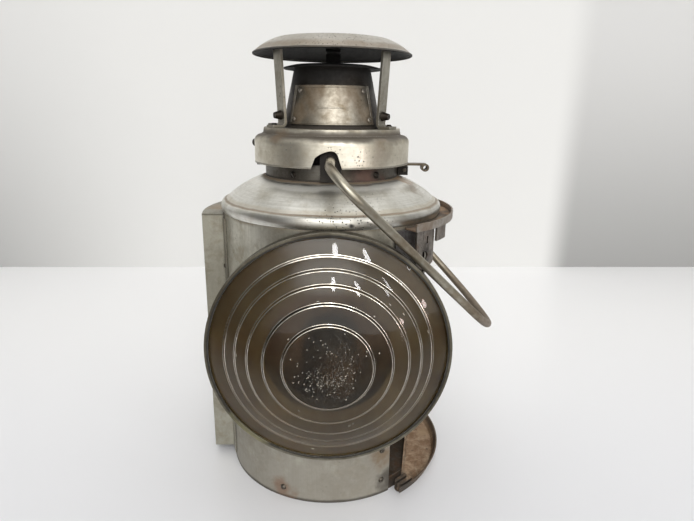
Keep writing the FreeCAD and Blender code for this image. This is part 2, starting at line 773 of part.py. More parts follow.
def blank_plate():
    low_r = cone_radius(PLATE_BOTTOM) + SEAT
    high_r = cone_radius(PLATE_TOP) + SEAT
    sheet = turned(outline(
        (low_r, PLATE_BOTTOM),
        (low_r + SHEET, PLATE_BOTTOM),
        (high_r + SHEET, PLATE_TOP),
        (high_r, PLATE_TOP),
    ))
    front = outline(
        (-PLATE_HALF_BOTTOM, PLATE_BOTTOM - 1),
        (PLATE_HALF_BOTTOM, PLATE_BOTTOM - 1),
        (PLATE_HALF_TOP, PLATE_TOP + 1),
        (-PLATE_HALF_TOP, PLATE_TOP + 1),
    )
    return sheet.common(bar_y(front, -2 * CONE_BASE_R, 0))


def plate_rivets():
    slope = (CONE_BASE_R - CONE_TOP_R) / (CONE_TOP - LID_TOP)
    heads = []
    for spread, up in PLATE_RIVETS:
        z = PLATE_BOTTOM + up
        for azimuth in (-90.0 - spread, -90.0 + spread):
            base = at_azimuth(cone_radius(z) + 2 * SEAT + SHEET, azimuth, z)
            outward = radial(azimuth) + UP * slope
            heads.append(rivet(base, outward, SMALL_RIVET_R, SMALL_RIVET_HEIGHT))
    return Part.makeCompound(heads)


def cap_dome():
    bow_r = CAP_R * CAP_BOW[0]
    bow_z = CAP_RIM_Z + CAP_RISE * CAP_BOW[1]
    inset = SHEET * math.sqrt(0.36)
    under = CAP_KNEE_Z - SHEET
    shell = turned(outline(
        (CAP_R, CAP_RIM_Z),
        ((bow_r, bow_z), (CAP_KNEE_R, CAP_KNEE_Z)),
        (crown_via(CAP_KNEE_R, CAP_KNEE_Z, CAP_TOP), (0, CAP_TOP)),
        (0, CAP_TOP - SHEET),
        (crown_via(CAP_KNEE_R, under, CAP_TOP - SHEET), (CAP_KNEE_R, under)),
        ((bow_r - inset, bow_z - inset), (CAP_R - SHEET, CAP_RIM_Z)),
    ))
    bead = Part.makeTorus(CAP_R - CAP_RIM_WIRE, CAP_RIM_WIRE, vec(0, 0, CAP_RIM_Z))
    return shell.fuse(bead).removeSplitter()


def cap_leg(azimuth):
    top_z = LEG_TOP_Z
    seat = LID_TOP + SEAT
    bend = LEG_BEND * (1 - math.sqrt(0.5))
    wire = path(
        (LEG_R + LEG_FOOT, seat),
        (LEG_R + LEG_BEND, seat),
        ((LEG_R + bend, seat + bend), (LEG_R, seat + LEG_BEND)),
        (LEG_TOP_R, top_z - SHEET),
        (LEG_TOP_R - LEG_TAB, top_z),
    )
    half = LEG_WIDTH / 2
    leg = bar_y(strip_outline(wire, -STRAP), -half, half)
    leg.rotate(ORIGIN, UP, azimuth)
    return leg


def leg_rivets():
    z = LID_TOP + SEAT + STRAP
    foot_r = LEG_R + LEG_FOOT - RIVET_R - STRAP / 2
    bolt_r = LEG_R + STRAP + SEAT + (LEG_BOLT_UP - LEG_BEND) * LEG_LEAN
    heads = []
    for azimuth in LEG_AZIMUTHS:
        heads.append(rivet(at_azimuth(foot_r, azimuth, z), UP))
        base = at_azimuth(bolt_r, azimuth, LID_TOP + LEG_BOLT_UP)
        heads.append(rivet(base, radial(azimuth) - UP * LEG_LEAN, LEG_BOLT_R, LEG_BOLT_HEIGHT))
    return Part.makeCompound(heads)


def fount_tank():
    wall = FOUNT_WALL
    low = SHEET + SEAT
    shoulder = FOUNT_TOP - FOUNT_ROUND
    bend = FOUNT_ROUND * (1 - math.sqrt(0.5))
    wire = path(
        (0, low),
        (FOUNT_R, low),
        (FOUNT_R, shoulder),
        ((FOUNT_R - bend, FOUNT_TOP - bend), (FOUNT_R - FOUNT_ROUND, FOUNT_TOP)),
        (BURNER_NECK_R, FOUNT_TOP),
    )
    return turned(strip_outline(wire, wall))


def filler_cap():
    base = vec(FILLER_AT[0], FILLER_AT[1], FOUNT_TOP)
    cap = Part.makeCylinder(FILLER_R, FILLER_HEIGHT, base)
    crown = [edge for edge in cap.Edges if edge.BoundBox.ZMin > FOUNT_TOP + FILLER_HEIGHT / 2]
    return cap.makeFillet(FILLER_ROUND, crown)


def tube_hole(grow):
    half_x = WICK_WIDTH / 2 + grow
    half_y = WICK_THICK / 2 + grow
    return box(-half_x, half_x, -half_y, half_y, -1, 2 * DRAFT_TOP)


def burner_collar():
    collar = ring(0, BURNER_NECK_R + COLLAR_LAP, FOUNT_TOP, GALLERY_BOTTOM)
    return collar.cut(tube_hole(TUBE_CLEAR + SHEET + SEAT))


def burner_gallery():
    wall = ring(GALLERY_R - SHEET, GALLERY_R, GALLERY_BOTTOM, GALLERY_TOP)
    floor = ring(0, GALLERY_R, GALLERY_BOTTOM, GALLERY_BOTTOM + SHEET)
    cup = wall.fuse(floor).cut(tube_hole(TUBE_CLEAR + SHEET + SEAT))
    for index in range(VENT_COUNT):
        azimuth = (index + 0.5) * 360.0 / VENT_COUNT
        base = at_azimuth(GALLERY_R - 2 * SHEET, azimuth, GALLERY_BOTTOM + GALLERY_HEIGHT / 4)
        cup = cup.cut(Part.makeCylinder(VENT_R, 3 * SHEET, base, radial(azimuth)))
    shaft_start = vec(-2 * GALLERY_R, SHAFT_Y, SHAFT_Z)
    bearing = Part.makeCylinder(SHAFT_R + PIN_PLAY, 4 * GALLERY_R, shaft_start, X_AXIS)
    return cup.cut(bearing).removeSplitter()


def wick_tube():
    low = FOUNT_TOP - TUBE_DIP
    keep = box(-GALLERY_R, GALLERY_R, -GALLERY_R, GALLERY_R, low, TUBE_TOP)
    tube = tube_hole(TUBE_CLEAR + SHEET).common(keep).cut(tube_hole(TUBE_CLEAR))
    reach = SPUR_R + RUN
    for x in (-SPUR_X, SPUR_X):
        half = SPUR_WIDTH / 2 + RUN
        tube = tube.cut(box(x - half, x + half, 0, GALLERY_R, SHAFT_Z - reach, SHAFT_Z + reach))
    return tube


def draft_cone():
    low_r = GALLERY_R + SEAT
    skirt = GALLERY_TOP - DRAFT_SKIRT
    dome = turned(outline(
        (low_r, skirt),
        (low_r + SHEET, skirt),
        (low_r + SHEET, GALLERY_TOP),
        (crown_via(low_r + SHEET, GALLERY_TOP, DRAFT_TOP), (0, DRAFT_TOP)),
        (0, DRAFT_TOP - SHEET),
        (crown_via(low_r, GALLERY_TOP, DRAFT_TOP - SHEET), (low_r, GALLERY_TOP)),
    ))
    return dome.cut(tube_hole(TUBE_CLEAR + 2 * SHEET))


def wick():
    half_x = WICK_WIDTH / 2
    half_y = WICK_THICK / 2
    return box(-half_x, half_x, -half_y, half_y, WICK_BOTTOM, WICK_TOP)


def spur_wheel(x):
    """Small star wheel that bites into the wick."""
    points = []
    for index in range(2 * SPUR_TEETH):
        radius = SPUR_R if index % 2 == 0 else SPUR_ROOT_R
        angle = math.pi * index / SPUR_TEETH
        points.append(vec(x - SPUR_WIDTH / 2, radius * math.cos(angle), radius * math.sin(angle)))
    star = Part.Face(Part.makePolygon(points + points[:1]))
    wheel = star.extrude(vec(SPUR_WIDTH, 0, 0))
    wheel.translate(vec(0, SHAFT_Y, SHAFT_Z))
    return wheel


def wick_shaft():
    start_x = -GALLERY_R - SHEET
    length = KNOB_X + KNOB_THICK - start_x
    shaft = Part.makeCylinder(SHAFT_R, length, vec(start_x, SHAFT_Y, SHAFT_Z), X_AXIS)
    return shaft.fuse([spur_wheel(-SPUR_X), spur_wheel(SPUR_X)]).removeSplitter()


def wick_knob():
    disc = Part.makeCylinder(KNOB_R, KNOB_THICK, vec(KNOB_X, SHAFT_Y, SHAFT_Z), X_AXIS)
    bore = Part.makeCylinder(SHAFT_R + PIN_PLAY, KNOB_THICK, vec(KNOB_X, SHAFT_Y, SHAFT_Z), X_AXIS)
    return disc.makeChamfer(KNOB_EDGE, disc.Edges).cut(bore)


def door_panel():
    return ring(DOOR_IN, DOOR_OUT, DOOR_BOTTOM, DOOR_TOP, DOOR_LEAD, DOOR_SPAN)


def door_pull():
    knob = turned(outline(
        (0, DOOR_OUT + SEAT / 2),
        (DOOR_PULL_R * 0.8, DOOR_OUT + SEAT + 0.4),
        (DOOR_PULL_R * 0.5, DOOR_OUT + DOOR_PULL_REACH * 0.4),
        (DOOR_PULL_R, DOOR_OUT + DOOR_PULL_REACH * 0.8),
        (DOOR_PULL_R * 0.6, DOOR_OUT + DOOR_PULL_REACH),
        (0, DOOR_OUT + DOOR_PULL_REACH),
    ))
    knob.rotate(ORIGIN, Y_AXIS, 90)
    knob.translate(vec(0, 0, DOOR_PULL_Z))
    knob.rotate(ORIGIN, UP, DOOR_LEAD + DOOR_PULL_AT)
    return knob


def pieces():
    """Every sub-part by name."""
    made = {
        "body_shell": body_shell(),
        "base_pan": base_pan(),
        "shoulder_dome": shoulder_dome(),
        "neck_ring": neck_ring(),
        "neck_screws": neck_screws(),
        "lens_hood": lens_hood(),
        "lens_retainer": lens_retainer(),
        "front_lens": front_lens(),
        "lens_bezel": lens_bezel(),
        "sill_tray": sill_tray(),
        "base_rail": base_rail(),
        "top_tray": top_tray(),
        "door_post": door_post(),
        "jamb_strip": jamb_strip(),
        "door_catch": door_catch(),
        "door_guide": door_guide(),
        "jacket_shell": jacket_shell(),
        "jacket_top_plate": jacket_top_plate(),
        "jacket_end_plate": jacket_end_plate(),
        "body_rivets": body_rivets(),
        "bail_ear_front": bail_ear(-1),
        "bail_ear_rear": bail_ear(1),
        "hinge_bracket": hinge_bracket(),
        "hinge_pin": hinge_pin(),
        "latch_bracket": latch_bracket(),
        "latch_pin": latch_pin(),
        "fount_tank": fount_tank(),
        "filler_cap": filler_cap(),
        "burner_collar": burner_collar(),
        "burner_gallery": burner_gallery(),
        "wick_tube": wick_tube(),
        "draft_cone": draft_cone(),
        "lid_collar": lid_collar(),
        "chimney_cone": chimney_cone(),
        "chimney_flange": chimney_flange(),
        "blank_plate": blank_plate(),
        "plate_rivets": plate_rivets(),
        "leg_rivets": leg_rivets(),
        "cap_dome": cap_dome(),
        "hinge_strap": hinge_strap(),
        "latch_lever": latch_lever(),
        "bail": bail(),
        "door_panel": door_panel(),
        "door_pull": door_pull(),
        "wick": wick(),
        "wick_shaft": wick_shaft(),
        "wick_knob": wick_knob(),
    }
    for number, azimuth in enumerate(LEG_AZIMUTHS, start=1):
        made[f"cap_leg_{number}"] = cap_leg(azimuth)
    return made


os.makedirs("parts", exist_ok=True)
for name, shape in pieces().items():
    shape.exportStep(f"parts/{name}.step")
    print(f"{name:18s} solids {len(shape.Solids):2d}  volume {shape.Volume:10.1f}  valid {shape.isValid()}")
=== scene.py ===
"""Looks of an old plated-steel oil signal lamp, built around its CAD frame."""

import math
import random

import bmesh
import bpy
from bpy.props import FloatProperty, FloatVectorProperty, IntProperty, PointerProperty
from mathutils import Matrix, Vector


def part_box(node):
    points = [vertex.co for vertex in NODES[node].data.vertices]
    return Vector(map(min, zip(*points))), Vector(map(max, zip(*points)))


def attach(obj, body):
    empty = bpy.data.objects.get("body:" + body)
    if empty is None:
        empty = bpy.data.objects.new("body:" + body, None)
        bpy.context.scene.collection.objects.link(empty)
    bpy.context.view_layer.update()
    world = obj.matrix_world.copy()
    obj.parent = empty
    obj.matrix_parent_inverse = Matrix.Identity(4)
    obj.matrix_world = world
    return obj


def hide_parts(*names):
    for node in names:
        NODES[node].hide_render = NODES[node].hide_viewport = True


bl_info = {
    "name": "Oil Signal Lamp",
    "version": (1, 0, 0),
    "blender": (4, 5, 0),
    "location": "View3D > Sidebar > Lamp",
    "description": "Finishes, lens, screw heads, wick and stage of an oil signal lamp",
    "category": "Object",
}

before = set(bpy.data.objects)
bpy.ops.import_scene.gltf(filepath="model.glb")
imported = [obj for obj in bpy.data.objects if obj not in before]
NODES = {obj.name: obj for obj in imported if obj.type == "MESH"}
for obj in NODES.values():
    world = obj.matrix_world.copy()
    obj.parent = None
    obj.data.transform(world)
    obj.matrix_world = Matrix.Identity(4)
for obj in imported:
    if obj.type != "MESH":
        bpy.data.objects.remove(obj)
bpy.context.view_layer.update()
MM = 0.001

# Colours of wear, also used for painted shade and a painted reflection
TARNISH = (0.20, 0.135, 0.075)
STRAW = (0.46, 0.36, 0.20)
RUST = (0.20, 0.085, 0.035)
TAN = (0.40, 0.27, 0.165)
SOOT = (0.010, 0.009, 0.008)
# Dark grime, also the colour of painted shade in corners, creases and shaded patches
GRIME_AND_SHADE = (0.040, 0.033, 0.026)
# Warm pinkish tone, painted on the lid's skirt as a reflection
PINK_SHEEN = (0.20, 0.12, 0.095)
BROWN = (0.36, 0.24, 0.15)
RUBBED = (0.80, 0.78, 0.72)
RUST_BLOTCH = (0.27, 0.165, 0.095)
RUST_DARK = (0.09, 0.058, 0.040)
RUST_PALE = (0.52, 0.43, 0.32)
RUST_GRAIN = (0.12, 0.08, 0.055)
RIM_BRIGHT = (0.40, 0.38, 0.345)
RIM_DULL = (0.20, 0.17, 0.14)

# Wear: grain of ragged edges per metre, how ragged they are, and the centre and axes of a tube's inside
STAIN_GRAIN = 120.0
STAIN_RAGGED = 1.8
BAND_GRAIN = 70.0
RIM_RAGGED = 0.35
TUBE = ((0, 0, 0), (1, 1, 0))

# Sizes of the CAD model, in millimetres
LENS_Z = 104.9
LENS_RIM_R = 67.4
LENS_CLEAR_R = 66.5
GLASS_BACK = 71.0
GLASS_RIM_FRONT = 74.6
BACK_CROWN = 80.0
LENS_CROWN = 94.0
LENS_STEPS = ((57.0, 78.0, 0.5), (50.5, 81.7, 1.1), (43.3, 85.6, 1.1), (34.3, 89.2, 1.1), (23.85, 92.4, 1.1))
STEP_DRAFT = 1.1
LID_TOP = 224.6
CONE_TOP = 260.0
CONE_BASE_R = 30.8
CONE_TOP_R = 23.2
PLATE_BOTTOM = 227.0
PLATE_TOP = 249.0
PLATE_FACE = 1.1
PLATE_HALF_BOTTOM = 25.4
PLATE_HALF_TOP = 21.2
NECK_R = 42.0
NECK_SCREW_Z = 199.0
LATCH_LOOP_R = 2.5
KNOB_X = 26.0
SHAFT_Y = 5.9
SHAFT_Z = 69.6667
WICK_WIDTH = 16.0
WICK_THICK = 3.0
WICK_LOW = 10.0
WICK_HIGH = 96.0

# Lens: form in millimetres, numbers of rows, and the order of its materials
LENS_ARCH = 0.14
RIM_BENDS = (0, 0.25, 0.25, 0.2)
FOOT_BEND = 0.6
EASE_STEPS = 5
BACK_ROWS = 16
ZONE_ROWS = 18
CENTRE_ROWS = 56
# Heights from the lens's middle, in millimetres, between which the step edges' painted highlight fades to
# painted shade
EDGE_LIT = 25
EDGE_DIM = -40
GLASS, STEP_EDGE, BACK, CHIP = range(4)

# Chips on the lens: how likely a face is chipped in a cluster below the middle, round the middle and elsewhere
CHIP_SEED = 11
CHIP_AREA = 0.30e-6
CHIP_FIRST_ROW = BACK_ROWS + 4
CHIP_CLUSTER = 0.24
CLUSTER_WIDE = 10
CLUSTER_HIGH = 5
CLUSTER_DROP = 6
CHIP_MIDDLE = 0.03
MIDDLE_SPREAD = 250
CHIP_STRAY = 0.0008

# Bead, in millimetres
BEAD_Z = 177.0
BEAD_HALF = 3.55
BEAD_SEAT_R = 68.6
BEAD_PROUD = 1.7
BEAD_ROWS = 24
BEAD_SEGMENTS = 160

# Screw heads: shares of the radius and height, then radius and height in millimetres, places and slot angles
HEAD_ACROSS = (-0.985, -0.85, -0.6, -0.35, -0.17, -0.17, 0.17, 0.17, 0.35, 0.6, 0.85, 0.985)
HEAD_ROWS = 13
HEAD_WALL = 0.45
HEAD_DOME = 0.55
SLOT_COLUMNS = (5, 6)
SLOT_DEPTH = 0.42
NECK_HEAD = (2.0, 1.1)
NECK_SCREWS = ((-121.0, 35.0), (-51.0, 70.0), (51.0, 10.0), (121.0, 120.0))
PLATE_HEAD = (1.4, 0.88)
PLATE_SEAT = 1.2
PLATE_SCREWS = ((42.0, 19.0, (20.0, 75.0)), (45.5, 2.8, (130.0, 55.0)))

# Line and rule on the plate, in millimetres
FRAME_INSETS = (0.7, 1.35)
FRAME_STEPS = 24
FRAME_PROUD = 0.22
FRAME_ROOT = -0.1
RULE_HALF = 7.0
RULE_WIDE = 0.3
RULE_STEPS = 16
RULE_PROUD = 0.2
RULE_DROP = 1.5

# Wick and knob
WICK_AROUND = 96
WICK_ROWS = 150
WICK_CORDS = 10
WEFT_ROWS = 1.5
WARP_DEPTH = 0.10
WEFT_DEPTH = 0.05
WEFT_WAVE = 0.02
CHAR_FROM = 0.0925
CHAR_TO = 0.0955
KNOB_PROFILE = (
    (1.25, 0.0), (6.6, 0.0), (7.5, 0.8), (7.5, 3.2), (6.6, 4.0), (4.2, 4.0), (3.6, 3.5), (1.25, 3.5),
)
KNOB_SEGMENTS = 72
KNOB_FLUTE = 0.05

# Lights as seen from the lens: azimuth from straight ahead towards +X and elevation in degrees, and watts
LENS_AIM = Vector((0.0, -0.08, 0.15))
WINDOW_AZIMUTH = 13.0
WINDOW_ELEVATION = 14.5
GLOW_AZIMUTH = -3.0
GLOW_ELEVATION = 38.0
PANELS = ((2.0, 25.5, 4.0), (18.0, 22.0, 3.6), (42.0, 23.0, 2.4))
PANEL_DISTANCE = 2.6
PANEL_SIZE = (0.12, 0.62)
LOW_PANEL = (44.3, -2.4, 1.6)
LOW_PANEL_SIZE = (0.10, 0.12)
LOW_PANEL_POWER = 0.5
LOW_PANEL_TINT = (1.0, 0.80, 0.76)
CEILING = (0.20, -0.12, 2.0)
CEILING_AIM = (0.20, -0.12, 0.0)
CEILING_SIZE = (2.4, 1.3)
CEILING_POWER = 8.7
ROOM_TINT = (1.0, 0.99, 0.97)

# Where the tones of floor, wall and room fade: from and to, in metres or as shares of a direction
# The table top fades to its dark edge between the first two depths: painted shade for the dim room ahead
FLOOR_NEAR = (-0.12, -0.30)
FLOOR_FAR = (-0.10, 0.25)
# Painted light on the backdrop: it darkens from top to bottom between these heights and is brightest between the
# left and right fades
WALL_RISE = (-0.05, 0.40)
WALL_LEFT = (-0.62, -0.20)
WALL_RIGHT = (0.37, 0.32)
ROOM_RISE = (0.0, 0.8)
ROOM_AHEAD = (-0.9, 0.1)
ROOM_SIDES = (-0.8, 0.4, 0.72, 1.15)
WINDOW_WIDE = (0.50, 0.95)
WINDOW_HIGH = (0.80, 0.36)
GLOW_WIDE = (0.88, 0.995)

# Floor, backdrop and camera, in metres
STAGE_HALF = 3.0
TABLE_FRONT = -0.9
BACK_LEFT = 0.3285
BACK_RIGHT = 0.5515
CAMERA_PLACE = (0.00501, -0.343, 0.23618)
CAMERA_AXES = (
    (0.999812, -0.010932, -0.016033),
    (-0.012381, 0.276898, -0.960816),
    (0.014943, 0.960834, 0.276710),
)
SENSOR_WIDTH = 36.0


def colour(name, description, default):
    return FloatVectorProperty(
        name=name, description=description, default=default, subtype="COLOR", size=3, min=0, max=1
    )


def length(name, description, millimetres):
    return FloatProperty(name=name, description=description, default=millimetres * MM, unit="LENGTH", min=0)


def strength(name, description, default):
    return FloatProperty(name=name, description=description, default=default, min=0)


class LampFinish(bpy.types.PropertyGroup):
    """Colours, wear and small forms of the lamp's surfaces."""

    plating: colour("Plating", "Bright tone of the plated sheet", (0.64, 0.622, 0.54))
    plating_worn: colour("Worn plating", "Dull tone of the plated sheet", (0.35, 0.33, 0.265))
    wire: colour("Wire", "Drawn wire of the bail", (0.45, 0.425, 0.35))
    brass: colour("Brass", "Sooted burner metal", (0.13, 0.085, 0.04))
    cotton: colour("Cotton", "Clean wick", (0.55, 0.48, 0.36))
    glass: colour("Glass", "Tint of the lens", (0.71, 0.63, 0.46))
    dents: length("Dents", "Depth of the sheet's dents", 0.35)
    edge: length("Edge", "Rounding seen on sheet edges", 0.35)
    step_round: length("Step rounding", "Rounding of the lens's step edges", 0.26)
    lens_segments: IntProperty(name="Lens segments", description="Facets round the lens", default=192, min=48)


class LampStage(bpy.types.PropertyGroup):
    """Camera, light, floor and backdrop."""

    floor: colour("Floor", "Table top", (0.80, 0.805, 0.83))
    floor_far: colour("Far floor", "Table top near the backdrop", (0.88, 0.88, 0.885))
    # Backdrop tones paint light and shade on it: a brighter pool behind the lamp, and sides that darken towards
    # the table
    wall: colour("Wall", "Backdrop behind the lamp", (0.70, 0.70, 0.69))
    wall_high: colour("Upper wall", "Backdrop's sides at their top", (0.60, 0.60, 0.595))
    wall_low: colour("Lower wall", "Backdrop's sides near the table", (0.31, 0.31, 0.305))
    focal: FloatProperty(
        name="Focal length", description="Focal length of the camera", default=27.355, unit="CAMERA"
    )
    # Painted shade: dark tone the table top fades to in front of the view
    table_edge: colour("Table edge", "Table top in front of the view", (0.10, 0.08, 0.065))
    sky: strength("Sky", "Strength of the light from above", 0.42)
    room: strength("Room", "Strength of the light from the sides", 0.25)
    front: strength("Front", "Share of the room's light that comes from the front", 0.60)
    window: strength("Window", "Strength of the soft light ahead of the lamp", 1.35)
    glow: strength("Glow", "Strength of the soft light above the window", 2.7)


class Shading:
    """Shader nodes of one tree, a material's or the world's."""

    def __init__(self, tree):
        self.tree = tree

    def node(self, kind, **settings):
        node = self.tree.nodes.new(kind)
        for key, value in settings.items():
            setattr(node, key, value)
        return node

    def feed(self, socket, value):
        if isinstance(value, bpy.types.NodeSocket):
            self.tree.links.new(value, socket)
        elif hasattr(value, "__len__") and len(value) == 3 and len(socket.default_value) == 4:
            socket.default_value = (*value, 1.0)
        else:
            socket.default_value = value

    def math(self, operation, first, second=0.0, clamp=False):
        node = self.node("ShaderNodeMath", operation=operation, use_clamp=clamp)
        self.feed(node.inputs[0], first)
        self.feed(node.inputs[1], second)
        return node.outputs[0]

    def times(self, first, *others):
        for other in others:
            first = self.math("MULTIPLY", first, other)
        return first

    def plus(self, first, *others):
        for other in others:
            first = self.math("ADD", first, other)
        return first

    def fade(self, value, low, high, start=0.0, end=1.0):
        """Smooth change from start at low to end at high."""
        node = self.node("ShaderNodeMapRange", interpolation_type="SMOOTHSTEP")
        for socket, number in zip(node.inputs, (value, low, high, start, end)):
            self.feed(socket, number)
        return node.outputs[0]


class Surface(Shading):
    """One material, put together from shader nodes."""

    def __init__(self, name):
        self.material = bpy.data.materials.new(name)
        self.material.use_nodes = True
        super().__init__(self.material.node_tree)
        self.tree.nodes.clear()
        self.output = self.node("ShaderNodeOutputMaterial")
        self.bsdf = self.node("ShaderNodeBsdfPrincipled")
        self.tree.links.new(self.bsdf.outputs[0], self.output.inputs[0])
        texture = self.node("ShaderNodeTexCoord")
        self.coords = texture.outputs["Object"]
        self.facing = texture.outputs["Normal"]
        self.parts = None

    def set(self, **values):
        for key, value in values.items():
            self.feed(self.bsdf.inputs[key.replace("_", " ")], value)

    def cleared(self, share):
        """The material, made see-through by a share."""
        both = self.node("ShaderNodeMixShader")
        self.feed(both.inputs[0], share)
        self.feed(both.inputs[1], self.bsdf.outputs[0])
        self.feed(both.inputs[2], self.node("ShaderNodeBsdfTransparent").outputs[0])
        self.feed(self.output.inputs[0], both.outputs[0])
        return self.material

    def most(self, first, second):
        return second if first is None else self.math("MAXIMUM", first, second)

    def vector(self, operation, first, second=(0, 0, 0)):
        node = self.node("ShaderNodeVectorMath", operation=operation)
        self.feed(node.inputs[0], first)
        self.feed(node.inputs["Scale" if operation == "SCALE" else 1], second)
        return node.outputs["Value" if operation in ("LENGTH", "DOT_PRODUCT") else "Vector"]

    def mix(self, share, first, second, blend="MIX"):
        node = self.node("ShaderNodeMix", data_type="RGBA", blend_type=blend)
        self.feed(node.inputs[0], share)
        self.feed(node.inputs[6], first)
        self.feed(node.inputs[7], second)
        return node.outputs[2]

    def noise(self, scale, detail=2.0, roughness=0.5, vector=None, out=0, distortion=0.0):
        node = self.node("ShaderNodeTexNoise")
        self.feed(node.inputs["Vector"], vector or self.coords)
        self.feed(node.inputs["Scale"], scale)
        self.feed(node.inputs["Detail"], detail)
        self.feed(node.inputs["Roughness"], roughness)
        self.feed(node.inputs["Distortion"], distortion)
        return node.outputs[out]

    def cells(self, scale):
        node = self.node("ShaderNodeTexVoronoi")
        self.feed(node.inputs["Vector"], self.coords)
        self.feed(node.inputs["Scale"], scale)
        return node.outputs[0]

    def stretched(self, x, y, z):
        return self.vector("MULTIPLY", self.coords, (x, y, z))

    def place(self):
        """X, Y, Z, distance from the lamp's axis and from the lens's axis, and azimuth in radians."""
        if self.parts is None:
            split = self.node("ShaderNodeSeparateXYZ")
            self.feed(split.inputs[0], self.coords)
            x, y, z = split.outputs
            radius = self.math("SQRT", self.plus(self.times(x, x), self.times(y, y)))
            up = self.math("SUBTRACT", z, LENS_Z * MM)
            ring = self.math("SQRT", self.plus(self.times(x, x), self.times(up, up)))
            self.parts = {"x": x, "y": y, "z": z, "r": radius, "lens": ring, "a": self.math("ARCTAN2", y, x)}
        return self.parts

    def wrapped(self, around, up):
        """Coordinates unrolled from the lamp's axis, with a scale each way."""
        place = self.place()
        join = self.node("ShaderNodeCombineXYZ")
        self.feed(join.inputs[0], self.times(place["a"], around))
        self.feed(join.inputs[1], self.times(place["z"], up))
        self.feed(join.inputs[2], self.times(place["r"], up))
        return join.outputs[0]

    def near(self, point, reach):
        """Share that is 1 at a point and fades to 0 at reach, with a ragged edge."""
        wobble = self.vector("SUBTRACT", self.noise(STAIN_GRAIN, 3.0, 0.6, out=1), (0.5, 0.5, 0.5))
        moved = self.vector("ADD", self.coords, self.vector("SCALE", wobble, STAIN_RAGGED * reach))
        return self.fade(self.vector("LENGTH", self.vector("SUBTRACT", moved, point)), reach, reach * 0.25)

    def band(self, axis, middle, half, ragged=0.6):
        """Share that is 1 at a value of x, y, z, r or lens and fades to 0 half away from it."""
        wobble = self.times(self.math("SUBTRACT", self.noise(BAND_GRAIN, 3.0, 0.6), 0.5), 2 * ragged * half)
        offset = self.math("ABSOLUTE", self.math("SUBTRACT", self.plus(self.place()[axis], wobble), middle))
        return self.fade(offset, half, half * 0.2)

    def inward(self, centre, squeeze):
        """Share that is 1 on faces that look towards a centre, or towards an axis where squeeze is 0."""
        out = self.vector("MULTIPLY", self.vector("SUBTRACT", self.coords, centre), squeeze)
        return self.fade(self.vector("DOT_PRODUCT", self.facing, out), 0.002, -0.004)

    # Ambient occlusion share, used to paint shade into corners and creases
    def crevice(self, reach):
        node = self.node("ShaderNodeAmbientOcclusion", samples=4)
        self.feed(node.inputs["Distance"], reach)
        return self.fade(node.outputs["AO"], 0.78, 0.32)

    def bump(self, height, distance, strength, normal=None):
        node = self.node("ShaderNodeBump")
        self.feed(node.inputs["Strength"], strength)
        self.feed(node.inputs["Distance"], distance)
        self.feed(node.inputs["Height"], height)
        if normal is not None:
            self.feed(node.inputs["Normal"], normal)
        return node.outputs[0]

    def rounded(self, radius):
        node = self.node("ShaderNodeBevel", samples=4)
        self.feed(node.inputs["Radius"], radius)
        return node.outputs[0]

    def edges(self, bevel):
        plain = self.node("ShaderNodeNewGeometry").outputs["Normal"]
        return self.fade(self.vector("DOT_PRODUCT", bevel, plain), 0.985, 0.88)


